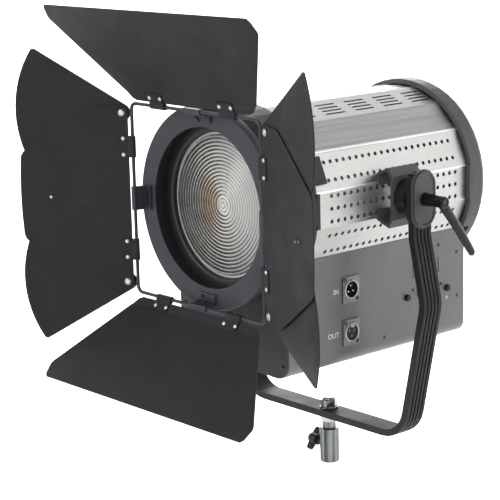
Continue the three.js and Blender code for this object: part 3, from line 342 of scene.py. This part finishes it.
MAT = {
    "brushed": brushed("brushed_panel", (0.44, 0.437, 0.427), "Y", 0.36),
    "box_gray": painted("box_gray", (0.115, 0.117, 0.117), 0.36, 1500, 0.2, 0.04, metallic=0.55),
    "cast_gray": painted("cast_gray", (0.05, 0.052, 0.053), 0.44, 900, 0.42, 0.07),
    "cast_dark": painted("cast_dark", (0.011, 0.0112, 0.012), 0.45, 900, 0.4, 0.07),
    "leaf_black": painted("leaf_black", (0.0098, 0.0102, 0.011), 0.56, 1700, 0.55, 0.03, gloss=0.15),
    "ring_paint": painted("ring_paint", (0.0125, 0.015, 0.0205), 0.48, 1500, 0.4, 0.03),
    "yoke_black": painted("yoke_black", (0.015, 0.0155, 0.0175), 0.5, 1300, 0.25, 0.03, gloss=0.14),
    "chrome": chrome_painted_reflections("chrome", (0.02, 0.021, 0.023), (0.22, 0.225, 0.23), 0.12),
    "steel": plated("nickel", (0.42, 0.415, 0.405), 0.26, 0.1),
    "brass": plated("brass", (0.72, 0.5, 0.22), 0.22, 0.1),
    "black_plastic": plastic("black_plastic", (0.007, 0.007, 0.0078), 0.42),
    "gloss_plastic": plastic("gloss_plastic", (0.005, 0.005, 0.0058), 0.24, 500, 0.06),
    "glass": lens_glass(),
    "display": smoked(),
    "board": circuit_board(),
    "phosphor": phosphor(),
    "heat_sink": brushed("heat_sink", (0.5, 0.51, 0.53), "Z", 0.38, 1100),
}
LINER = painted("liner", (0.012, 0.012, 0.013), 0.6, 700, 0.3)
SHROUD = brushed("shroud", (0.66, 0.66, 0.65), "Y", 0.42, 700)
MARK = plastic("print_gray", (0.55, 0.56, 0.56), 0.5)
RISER_PAINTED_SHADE = lens_riser_painted_shade()
REFLECTOR = plated("reflector", (0.7, 0.69, 0.67), 0.16)
DARK_NICKEL = plated("dark_nickel", (0.2, 0.198, 0.195), 0.34, 0.1)
SCREW = plated("black_screw", (0.06, 0.06, 0.065), 0.3, 0.12)


# ------------------------------------------------------------------ CAD nodes that stay
def finish_node(name, slot):
    """A CAD node keeps its own mesh and place; only its material slots are assigned."""
    for material_slot in nodes[name].material_slots:
        material_slot.material = MAT[slot]


FINISH = {"box_front_plate": "cast_dark"}
for part in record["subparts"]:
    finish_node(part["node"], FINISH.get(part["node"], part["material_slot"]))


# ------------------------------------------------------------------ mesh helpers
def new_object(name, bm, mats, body, crisp=32):
    mesh = bpy.data.meshes.new(name)
    bmesh.ops.recalc_face_normals(bm, faces=bm.faces)
    for edge in bm.edges:
        edge.smooth = not edge.is_manifold or edge.calc_face_angle(0) < math.radians(crisp)
    bm.to_mesh(mesh)
    bm.free()
    obj = bpy.data.objects.new(name, mesh)
    bpy.context.scene.collection.objects.link(obj)
    for mat in mats if isinstance(mats, (list, tuple)) else [mats]:
        mesh.materials.append(mat)
    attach(obj, body)
    return obj


def smooth(obj, degrees=32, width=None):
    """Smooth shading that stays crisp at edges, with an optional bevel on them."""
    for polygon in obj.data.polygons:
        polygon.use_smooth = True
    if width:
        bevel = obj.modifiers.new("bevel", "BEVEL")
        bevel.width = width
        bevel.segments = 3
        bevel.limit_method = "ANGLE"
        bevel.angle_limit = math.radians(degrees)
    obj.modifiers.new("normals", "WEIGHTED_NORMAL")
    return obj


def basis(origin, x, y):
    """A matrix whose local X and Y point along x and y."""
    x = Vector(x).normalized()
    z = x.cross(Vector(y)).normalized()
    y = z.cross(x)
    m = Matrix((x, y, z)).transposed().to_4x4()
    m.translation = Vector(origin)
    return m


def add_lathe(bm, profile, matrix, segments=64, mat=0):
    """Turns [radius, height] round local Z. The profile closes on itself."""
    rings = []
    for radius, height in profile:
        if radius < 1e-9:
            rings.append([bm.verts.new(matrix @ Vector((0, 0, height)))])
            continue
        ring = []
        for i in range(segments):
            a = 2 * math.pi * i / segments
            point = Vector((radius * math.cos(a), radius * math.sin(a), height))
            ring.append(bm.verts.new(matrix @ point))
        rings.append(ring)
    for i, ring in enumerate(rings):
        other = rings[(i + 1) % len(rings)]
        if len(ring) == 1 and len(other) == 1:
            continue
        for k in range(segments):
            j = (k + 1) % segments
            corners = [ring[k % len(ring)], ring[j % len(ring)], other[j % len(other)], other[k % len(other)]]
            unique = list(dict.fromkeys(corners))
            face = bm.faces.new(unique)
            face.material_index = mat


def add_prism(bm, outline, depth, matrix, mat=0):
    """Raises a closed outline along local Z by depth."""
    low = [bm.verts.new(matrix @ Vector((x, y, 0))) for x, y in outline]
    high = [bm.verts.new(matrix @ Vector((x, y, depth))) for x, y in outline]
    faces = [bm.faces.new(low[::-1]), bm.faces.new(high)]
    for i in range(len(outline)):
        j = (i + 1) % len(outline)
        faces.append(bm.faces.new([low[i], low[j], high[j], high[i]]))
    for face in faces:
        face.material_index = mat


def add_box(bm, low, high, matrix=Matrix.Identity(4), mat=0):
    outline = [(low[0], low[1]), (high[0], low[1]), (high[0], high[1]), (low[0], high[1])]
    add_prism(bm, outline, high[2] - low[2], matrix @ Matrix.Translation((0, 0, low[2])), mat)


def round_rect(width, height, radius, x=0.0, y=0.0, steps=5):
    points = []
    for cx, cy, start in ((1, -1, -90), (1, 1, 0), (-1, 1, 90), (-1, -1, 180)):
        for i in range(steps + 1):
            a = math.radians(start + 90 * i / steps)
            points.append((
                x + cx * (width / 2 - radius) + radius * math.cos(a),
                y + cy * (height / 2 - radius) + radius * math.sin(a)))
    return points


def ring_points(x, y, radius, count):
    return [(x + radius * math.cos(2 * math.pi * i / count), y + radius * math.sin(2 * math.pi * i / count))
            for i in range(count)]


def slot_points(x, y, length, width):
    return round_rect(width, length, width / 2 - 1e-6, x, y, 4)


def plate_mesh(outline, holes, thickness):
    """A flat plate with holes through it, as mesh data centred on local Z = 0."""
    curve = bpy.data.curves.new("plate", "CURVE")
    curve.dimensions = "2D"
    curve.fill_mode = "BOTH"
    curve.extrude = thickness / 2
    for points in [outline, *holes]:
        spline = curve.splines.new("POLY")
        spline.points.add(len(points) - 1)
        for i, (x, y) in enumerate(points):
            spline.points[i].co = (x, y, 0, 1)
        spline.use_cyclic_u = True
    obj = bpy.data.objects.new("plate", curve)
    bpy.context.scene.collection.objects.link(obj)
    bpy.context.view_layer.update()
    mesh = bpy.data.meshes.new_from_object(obj.evaluated_get(bpy.context.evaluated_depsgraph_get()))
    bpy.data.objects.remove(obj)
    bpy.data.curves.remove(curve)
    return mesh


def add_plate(bm, outline, holes, thickness, matrix, mat=0):
    mesh = plate_mesh(outline, holes, thickness)
    mesh.transform(matrix)
    before = len(bm.faces)
    bm.from_mesh(mesh)
    bm.faces.ensure_lookup_table()
    for face in bm.faces[before:]:
        face.material_index = mat
    bpy.data.meshes.remove(mesh)


# ------------------------------------------------------------------ perforated barrel
def facet_matrix(index, depth=0.0):
    """Local X runs round the barrel, local Y back along it, local Z inwards or outwards."""
    a = math.radians(FACET * index)
    outward = Vector((math.cos(a), 0, math.sin(a)))
    round_way = Vector((-math.sin(a), 0, math.cos(a)))
    origin = Vector((0, 0, LENS_Z)) + outward * (APOTHEM - depth)
    return basis(origin, round_way, (0, 1, 0))


SHEET = 0.0022
HOLE_R = 0.0024
HOLE_COUNT = 21
HOLE_FIRST, HOLE_LAST = -0.0943, 0.1105
SLOT_GROUPS = 5
SLOT_PITCH = 0.0476
SLOT_LAST = 0.112


def hole_rows(offsets):
    pitch = (HOLE_LAST - HOLE_FIRST) / (HOLE_COUNT - 1)
    return [ring_points(x, HOLE_FIRST + i * pitch, HOLE_R, 14) for x in offsets for i in range(HOLE_COUNT)]


def slot_rows():
    return [slot_points(x, SLOT_LAST - g * SLOT_PITCH, 0.0314, 0.0027)
            for x in (-0.0103, -0.0034, 0.0034, 0.0103) for g in range(SLOT_GROUPS)]


def facet_plate(bm, index, holes, low=-1.0, high=1.0):
    """One flat of the barrel; low and high trim it in half facets."""
    x0, x1 = low * HALF_FACET, high * HALF_FACET
    outline = [(x0, PANEL_Y0), (x1, PANEL_Y0), (x1, PANEL_Y1), (x0, PANEL_Y1)]
    add_plate(bm, outline, holes, SHEET, facet_matrix(index, SHEET / 2))


def side_shell(side):
    bm = bmesh.new()
    middle_index = 0 if side > 0 else 8
    for step in (-1, 0, 1):
        rows = (-0.0146, 0, 0.0146) if step == 0 else (-0.0105, 0.0105)
        trim_low = -0.785 if step == -side else -1.0
        trim_high = 0.785 if step == -side else 1.0
        low = trim_low if side > 0 else -1.0
        high = trim_high if side < 0 else 1.0
        facet_plate(bm, middle_index + step, hole_rows(rows), low, high)
    name = "side_shell_right" if side > 0 else "side_shell_left"
    shell = new_object(name, bm, MAT["brushed"], "head")
    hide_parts("side_panel_right" if side > 0 else "side_panel_left")
    return shell


side_shell(1)
side_shell(-1)

bm = bmesh.new()
facet_plate(bm, 3, slot_rows())
facet_plate(bm, 4, [])
facet_plate(bm, 5, slot_rows())
top_shell = new_object("top_shell", bm, MAT["brushed"], "head")
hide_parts("top_panel")


def strip(name, index, x, width, rise, mat):
    """A narrow rounded strip that runs the length of the barrel on one flat."""
    bm = bmesh.new()
    outline = round_rect(width, rise * 2, rise * 0.8, x, 0, 4)
    a = facet_matrix(index)
    lengthways = basis(a.translation, a.col[0].xyz, a.col[2].xyz)
    lip = 0.0062
    start = lengthways @ Matrix.Translation((0, 0, 0))
    y_way = lengthways.col[2].xyz.y
    shift = -(PANEL_Y1 - lip) if y_way < 0 else PANEL_Y0 + lip
    add_prism(bm, outline, PANEL_Y1 - PANEL_Y0 - 2 * lip, start @ Matrix.Translation((0, 0, shift)))
    return smooth(new_object(name, bm, mat, "head"))


EDGE = HALF_FACET - 0.0019
# the strips stand for the lips and bends of the sheet; their extra brightness is a painted highlight
LIP_PAINTED_HIGHLIGHT = brushed("lip_painted_highlight", (0.88, 0.88, 0.87), "Y", 0.3, 900)
strip("lip_right", 2, -EDGE, 0.0034, 0.0012, LIP_PAINTED_HIGHLIGHT)
strip("lip_left", 6, EDGE, 0.0034, 0.0012, LIP_PAINTED_HIGHLIGHT)
strip("seam_right", 0, EDGE + 0.0006, 0.0024, 0.0009, LIP_PAINTED_HIGHLIGHT)
strip("seam_left", 8, -EDGE - 0.0006, 0.0024, 0.0009, LIP_PAINTED_HIGHLIGHT)
strip("crown_strip", 4, 0, 0.0085, 0.0007, MAT["brushed"])
for i, x in enumerate((-0.0168, 0.0168)):
    strip(f"crown_edge_{i}", 4, x, 0.0016, 0.0006, DARK_NICKEL)

# dark perforated liner behind the holes
LINER_R = 0.1035
LINER_SPLIT = -0.012
for name, y0, y1, mat, slot in (
        ("liner_front", PANEL_Y0 + 0.003, LINER_SPLIT, SHROUD, "brushed"),
        ("liner_rear", LINER_SPLIT + 0.0005, PANEL_Y1 - 0.003, LINER, "cast_dark")):
    bm = bmesh.new()
    profile = [(LINER_R, y0), (LINER_R, y1), (LINER_R - 0.0008, y1), (LINER_R - 0.0008, y0)]
    add_lathe(bm, profile, basis((0, 0, LENS_Z), (1, 0, 0), (0, 0, -1)), 64)
    smooth(new_object(name, bm, mat, "head"))


# ------------------------------------------------------------------ lens and light engine
def along_y(x, z):
    """Local Z points along +Y, from the row's own zero."""
    return basis((x, 0, z), (1, 0, 0), (0, 0, -1))


def lens_profile():
    low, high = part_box("fresnel_lens")
    back, radius = high.y, high.x
    rim = low.y + 0.0035
    profile = [(0, back), (radius, back), (radius, rim), (LENS_SIGHT, rim)]
    for i in range(LENS_ZONES - 1, -1, -1):
        outer = LENS_CORE + LENS_ZONE * (i + 1)
        slope = 0.16 + 0.55 * outer / LENS_SIGHT
        for k in range(5):
            share = k / 4
            place = outer - 0.0001 - (LENS_ZONE - 0.0009) * share
            profile.append((place, rim + 0.0001 - LENS_ZONE * slope * math.sin(share * math.pi / 2)))
    profile += [(LENS_CORE * 0.6, rim - 0.0016), (LENS_CORE * 0.25, rim - 0.0019), (0, rim - 0.002)]
    return profile


bm = bmesh.new()
add_lathe(bm, lens_profile(), along_y(0, LENS_Z), 128)
lens = new_object("lens", bm, [MAT["glass"], RISER_PAINTED_SHADE], "head", 24)
lens_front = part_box("fresnel_lens")[0].y
# the riser faces picked below get the dark riser material, which is painted shade
for polygon in lens.data.polygons:
    # the short faces between zones lean outwards less than they face inwards
    radial = Vector((polygon.center.x, 0, polygon.center.z - LENS_Z)).normalized()
    if polygon.center.y < lens_front + 0.0037 and polygon.normal.dot(radial) < -0.5:
        polygon.material_index = 1
    polygon.use_smooth = True
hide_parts("fresnel_lens")

bm = bmesh.new()
shroud_wall = [(0.083, -0.1525), (0.0835, -0.1525), (0.0835, -0.082), (0.083, -0.082)]
add_lathe(bm, shroud_wall, along_y(0, LENS_Z), 96)
smooth(new_object("lens_shroud", bm, SHROUD, "head"))

bm = bmesh.new()
emitter = middle("led_emitter")
add_lathe(bm, [(0.0185, -0.0436), (0.030, -0.049), (0.044, -0.058), (0.058, -0.072), (0.0588, -0.072),
               (0.045, -0.0575), (0.031, -0.0483), (0.0185, -0.0429)], along_y(emitter.x, emitter.z), 96)
smooth(new_object("emitter_reflector", bm, REFLECTOR, "carriage"))


# ------------------------------------------------------------------ barn door ring, wire and rivets
bm = bmesh.new()
ring_low, ring_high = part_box("door_ring")
outer, hole = ring_high.x, 0.092
y0, y1 = ring_low.y, ring_high.y
add_lathe(bm, [(hole, y0 + 0.0007), (hole + 0.0007, y0), (outer - 0.0012, y0), (outer, y0 + 0.0012),
               (outer, y1),
               (outer - 0.002, y1), (outer - 0.002, y0 + 0.002), (hole, y0 + 0.002)], along_y(0, LENS_Z), 160)
ring = smooth(new_object("door_ring_plate", bm, MAT["ring_paint"], "doors"))
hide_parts("door_ring")

# retaining ring between the glass and the front casting, stepped towards the glass
bm = bmesh.new()
add_lathe(bm, [(0.084, -0.1655), (0.0848, -0.1662), (0.087, -0.168), (0.0972, -0.168), (0.0976, -0.1676),
               (0.0976, -0.1644), (0.087, -0.1644), (0.087, -0.1616), (0.084, -0.1616)], along_y(0, LENS_Z), 160)
retainer = smooth(new_object("lens_bezel", bm, MAT["cast_dark"], "head"))
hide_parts("lens_retainer")

WIRE_Y = -0.2014
WIRE_HALF = 0.112
curve = bpy.data.curves.new("hinge_wire", "CURVE")
curve.dimensions = "3D"
curve.bevel_depth = 0.00208
curve.bevel_resolution = 6
spline = curve.splines.new("POLY")
corner = [(x, z) for x, z in round_rect(2 * WIRE_HALF, 2 * WIRE_HALF, 0.008, 0, 0, 8)]
spline.points.add(len(corner) - 1)
for i, (x, z) in enumerate(corner):
    spline.points[i].co = (x, WIRE_Y, LENS_Z + z, 1)
spline.use_cyclic_u = True
wire = bpy.data.objects.new("hinge_wire", curve)
bpy.context.scene.collection.objects.link(wire)
wire_mesh = bpy.data.meshes.new_from_object(wire.evaluated_get(bpy.context.evaluated_depsgraph_get()))
bpy.data.objects.remove(wire)
wire = bpy.data.objects.new("hinge_wire", wire_mesh)
bpy.context.scene.collection.objects.link(wire)
wire_mesh.materials.clear()
wire_mesh.materials.append(MAT["ring_paint"])
for polygon in wire_mesh.polygons:
    polygon.use_smooth = True
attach(wire, "doors")

TURN = {"top": 0, "right": 90, "bottom": 180, "left": -90}
OPEN = {"top": 68.5, "right": 69.3, "bottom": 56.3, "left": 55.0}


def leaf_matrix(side):
    """From a leaf's own frame (X along the hinge, Y out from it, Z to the beam) to the row frame."""
    swing = Matrix.Rotation(math.radians(180 - OPEN[side]), 4, "X")
    out = Matrix.Translation((0, WIRE_Y, WIRE_HALF))
    turn = Matrix.Rotation(math.radians(TURN[side]), 4, "Y")
    return Matrix.Translation((0, 0, LENS_Z)) @ turn @ out @ swing


def add_rivet(bm, matrix, x, y, z, radius, height, flip=False, mat=0):
    up = -1 if flip else 1
    dome = [(0, z - up * 0.0003), (radius, z - up * 0.0003)]
    for i in range(7):
        a = math.radians(90 * i / 6)
        dome.append((radius * math.cos(a), z + up * height * math.sin(a)))
    dome[-1] = (0, z + up * height)
    add_lathe(bm, dome, matrix @ Matrix.Translation((x, y, 0)), 24, mat)


CLIP_X = 0.061
for side in TURN:
    m = leaf_matrix(side)
    bm = bmesh.new()
    for x in (-CLIP_X, CLIP_X):
        for dx in (-0.0095, 0.0095):
            add_rivet(bm, m, x + dx, 0.011, 0.0017, 0.0026, 0.0016)
    if side in ("left", "right"):
        pivot_height = 0.0038 if side == "left" else 0.0048
        add_rivet(bm, m, 0, 0.1025, 0.0005, 0.0030, pivot_height, mat=1 if side == "right" else 0)
        for x in (-0.1005, 0.1005):
            add_rivet(bm, m, x, 0.0124, 0.0005, 0.0044, 0.0020)
    obj = new_object(f"rivets_{side}", bm, [MAT["steel"], DARK_NICKEL], f"leaf_{side}")
    smooth(obj)

# rivets that hold the four straps on the ring
bm = bmesh.new()
for k in range(4):
    turn = Matrix.Translation((0, 0, LENS_Z)) @ Matrix.Rotation(math.radians(90 * k), 4, "Y")
    for x in (-0.0115, 0.0115):
        place = turn @ Matrix.Translation((x, 0, 0.1025)) @ Matrix.Rotation(math.radians(90), 4, "X")
        add_rivet(bm, place, 0, 0, 0.1888, 0.0016, 0.0010)
smooth(new_object("rivets_ring", bm, SCREW, "doors"))


# ------------------------------------------------------------------ tilt lever
def lever():
    bm = bmesh.new()
    low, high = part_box("tilt_lever")
    x0, x1 = low.x, high.x
    along_x = basis((0, 0, TILT_Z), (0, 1, 0), (0, 0, 1))
    add_lathe(bm, [(0, x0), (0.0078, x0), (0.008, x0 + 0.0006), (0.0072, x0 + 0.006), (0.0068, x0 + 0.014),
                   (0.0068, x1 - 0.003), (0.006, x1 - 0.0008), (0.0048, x1), (0.0033, x1), (0.0033, x1 - 0.002),
                   (0, x1 - 0.002)], along_x, 64)
    hexagon = ring_points(0, 0, 0.0031, 6)
    add_prism(bm, hexagon, 0.0016, along_x @ Matrix.Translation((0, 0, x1 - 0.0022)), 1)
    drop = math.radians(-52)
    down = Vector((0, math.cos(drop), math.sin(drop)))
    across = Vector((0, -down.z, down.y))
    rings = []
    length = 0.0878
    for i in range(29):
        t = i / 28
        width = 0.0062 - 0.0017 * t + 0.0004 * math.sin(math.pi * min(1, max(0, (t - 0.5) / 0.5)))
        if t > 0.96:
            width *= math.sqrt(max(0.0, 1 - ((t - 0.96) / 0.046) ** 2))
        bow = Vector((1, 0, 0)) * 0.0012 * math.sin(math.pi * t)
        centre = Vector((0.186, 0, TILT_Z)) + down * (length * t) + bow
        ring = []
        for k in range(20):
            a = 2 * math.pi * k / 20
            ring.append(bm.verts.new(
                centre + across * width * math.cos(a) + Vector((1, 0, 0)) * width * 0.78 * math.sin(a)))
        rings.append(ring)
    for a, b in zip(rings, rings[1:]):
        for k in range(20):
            j = (k + 1) % 20
            bm.faces.new([a[k], a[j], b[j], b[k]])
    bm.faces.new(rings[0][::-1])
    bm.faces.new(rings[-1])
    obj = smooth(new_object("lever_grip", bm, [MAT["gloss_plastic"], SCREW], "tilt_lever"))
    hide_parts("tilt_lever")


lever()


# ------------------------------------------------------------------ connectors and screws on the side of the box
def on_side(y, z, x=0.0):
    """Local X back along the box, local Y up, local Z out of its right side."""
    return basis((SIDE_X + x, y, z), (0, 1, 0), (0, 0, 1))


def add_screw(bm, matrix, radius, mat, dark):
    """Pan head with a cross recess."""
    profile = [(0, -0.0003), (radius, -0.0003), (radius, 0.0002)]
    profile += [(radius * 0.85, 0.0007), (radius * 0.5, 0.00095), (0, 0.001)]
    add_lathe(bm, profile, matrix, 24, mat)
    arm, half = radius * 0.55, radius * 0.13
    add_box(bm, (-arm, -half, 0.0007), (arm, half, 0.00104), matrix, dark)
    add_box(bm, (-half, -arm, 0.0007), (half, arm, 0.00103), matrix, dark)


def connector(node, name, female):
    low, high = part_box(node)
    y, z = (low.y + high.y) / 2, (low.z + high.z) / 2
    bm = bmesh.new()
    face = 0.0003
    outline = round_rect(0.026, 0.031, 0.0022)
    add_plate(bm, outline, [ring_points(0, 0, 0.0105, 40)], 0.0016, on_side(y, z, face + 0.0008), 4)
    here = on_side(y, z, face)
    add_lathe(bm, [(0.0095, -0.012), (0.011, -0.012), (0.011, 0.0024), (0.0106, 0.003),
                   (0.0098, 0.003), (0.0095, 0.0024)],
              here, 64)
    depth = 0.0014 if female else -0.0120
    add_lathe(bm, [(0, depth - 0.0015), (0.0096, depth - 0.0015), (0.0096, depth - 0.0004),
                   (0.0090, depth), (0, depth)],
              here, 48, 1)
    for k in range(3):
        a = math.radians((30 if female else 90) + 120 * k)
        spot = here @ Matrix.Translation((0.0044 * math.cos(a), 0.0044 * math.sin(a), 0))
        if female:
            collar = [(0.0011, depth), (0.0016, depth), (0.0015, depth + 0.0002), (0.0012, depth + 0.0002)]
            add_lathe(bm, collar, spot, 20, 4)
            hole_disc = [(0, depth), (0.0011, depth), (0.0011, depth + 0.00008), (0, depth + 0.00008)]
            add_lathe(bm, hole_disc, spot, 16, 2)
        else:
            pin = [(0, depth), (0.0012, depth), (0.0012, 0.0003), (0.0008, 0.0011), (0, 0.0012)]
            add_lathe(bm, pin, spot, 20, 3)
    for dx, dy in ((-0.0095, 0.012), (0.0095, -0.012)):
        add_screw(bm, here @ Matrix.Translation((dx, dy, 0.0018)), 0.0024, 2, 1)
    mats = [MAT["steel"], MAT["black_plastic"], SCREW, REFLECTOR, DARK_NICKEL]
    obj = smooth(new_object(name, bm, mats, "head"))
    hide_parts(node)


connector("xlr_in", "connector_in", False)
connector("xlr_out", "connector_out", True)

bm = bmesh.new()
BOX_SCREWS = (
    (0.0972, -0.0743), (0.0524, -0.1221), (0.101, -0.1229),
    (0.1295, -0.0882), (0.1305, -0.1425), (0.0034, -0.1706),
)
for y, z in BOX_SCREWS:
    add_screw(bm, on_side(y, LENS_Z + z), 0.0022, 0, 1)
smooth(new_object("box_screws", bm, [SCREW, MAT["black_plastic"]], "head"))

# plain plus and minus marks below the last two buttons, and the words beside the two sockets
def label(name, word, y, z, height):
    text = bpy.data.curves.new(name, "FONT")
    text.body = word
    text.size = height
    text.align_x = "RIGHT"
    text.align_y = "CENTER"
    text.extrude = 0.00006
    obj = bpy.data.objects.new(name, text)
    bpy.context.scene.collection.objects.link(obj)
    bpy.context.view_layer.update()
    mesh = bpy.data.meshes.new_from_object(obj.evaluated_get(bpy.context.evaluated_depsgraph_get()))
    bpy.data.objects.remove(obj)
    mesh.transform(on_side(y, z, 0.0001))
    mesh.materials.clear()
    mesh.materials.append(MARK)
    obj = bpy.data.objects.new(name, mesh)
    bpy.context.scene.collection.objects.link(obj)
    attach(obj, "head")


for node, word in (("xlr_in", "IN"), ("xlr_out", "OUT")):
    low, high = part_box(node)
    label(f"word_{word.lower()}", word, low.y - 0.0055, (low.z + high.z) / 2, 0.0085)

bm = bmesh.new()
for node, plus in (("minus_button", False), ("plus_button", True)):
    spot = middle(node)
    here = on_side(spot.y, spot.z - 0.012)
    add_box(bm, (-0.0024, -0.0004, 0), (0.0024, 0.0004, 0.00012), here)
    if plus:
        add_box(bm, (-0.0004, -0.0024, 0), (0.0004, 0.0024, 0.00012), here)
new_object("button_marks", bm, MARK, "head")


# ------------------------------------------------------------------ stage, light and camera
FLOOR_Z = -0.62


def plain(name, color):
    n = Nodes(name)
    tone = n.ramp(n.noise(0.8, 2), *around(color, 0.012))
    return n.set(Base_Color=tone, Roughness=0.9, Emission_Color=tone, Emission_Strength=0.5)


# a round cove: flat floor, curved foot and a plain wall all round
bm = bmesh.new()
profile = [(0.0, FLOOR_Z), (4.2, FLOOR_Z)]
for i in range(1, 9):
    a = math.radians(90 * i / 8)
    profile.append((4.2 + 1.6 * math.sin(a), FLOOR_Z + 1.6 * (1 - math.cos(a))))
profile.append((5.8, 4.5))
rings = []
for radius, height in profile[1:]:
    turns = [math.radians(a) for a in range(0, 360, 6)]
    ring = [(radius * math.cos(a), radius * math.sin(a)) for a in turns]
    rings.append([bm.verts.new((x, y, height)) for x, y in ring])
bm.faces.new(rings[0])
for a, b in zip(rings, rings[1:]):
    for k in range(len(a)):
        j = (k + 1) % len(a)
        bm.faces.new([a[k], b[k], b[j], a[j]])
mesh = bpy.data.meshes.new("backdrop")
bm.to_mesh(mesh)
bm.free()
backdrop = bpy.data.objects.new("backdrop", mesh)
bpy.context.scene.collection.objects.link(backdrop)
mesh.materials.append(plain("backdrop", (0.93, 0.93, 0.93)))
for polygon in mesh.polygons:
    polygon.use_smooth = True
backdrop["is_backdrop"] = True


def area_light(name, place, target, size, power, color=(1, 1, 1)):
    data = bpy.data.lights.new(name, "AREA")
    data.shape = "RECTANGLE"
    data.size, data.size_y = size
    data.energy = power
    data.color = color
    obj = bpy.data.objects.new(name, data)
    obj.location = place
    obj.rotation_euler = (Vector(target) - Vector(place)).to_track_quat("-Z", "Y").to_euler()
    bpy.context.scene.collection.objects.link(obj)


CENTRE = (0, 0, 0.33)
area_light("key", (-0.6, -2.6, 2.2), CENTRE, (1.8, 1.8), 42)
area_light("fill", (2.7, 1.5, 0.8), CENTRE, (1.5, 1.6), 5)
area_light("top", (0.2, 0.6, 2.9), CENTRE, (2.2, 2.2), 5)
area_light("rim", (-2.2, 1.8, 1.4), CENTRE, (1.2, 1.8), 24)
area_light("wall", (-1.6, 1.4, 3.6), (-5, 4.4, 0.6), (3, 2), 150)

world = bpy.data.worlds.new("studio")
bpy.context.scene.world = world
world.use_nodes = True
world.node_tree.nodes["Background"].inputs["Color"].default_value = (1, 1, 1, 1)
world.node_tree.nodes["Background"].inputs["Strength"].default_value = 0.5

AZIMUTH, ELEVATION, ROLL = 48.84, 12.35, -1.43
camera_data = bpy.data.cameras.new("camera")
camera = bpy.data.objects.new("camera", camera_data)
bpy.context.scene.collection.objects.link(camera)
a, e, r = (math.radians(v) for v in (AZIMUTH, ELEVATION, ROLL))
back = Vector((math.sin(a) * math.cos(e), -math.cos(a) * math.cos(e), math.sin(e)))
right = Vector((math.cos(a), math.sin(a), 0))
up = back.cross(right)
right, up = right * math.cos(r) + up * math.sin(r), up * math.cos(r) - right * math.sin(r)
pose = Matrix((right, up, back)).transposed().to_4x4()
pose.translation = Vector((1.4745, -1.4117, 0.7154))
camera.matrix_world = pose
camera_data.sensor_width = 36
camera_data.lens = 124.6
camera_data.clip_end = 60
bpy.context.scene.camera = camera
bpy.context.scene.view_settings.view_transform = "Standard"

low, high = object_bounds()
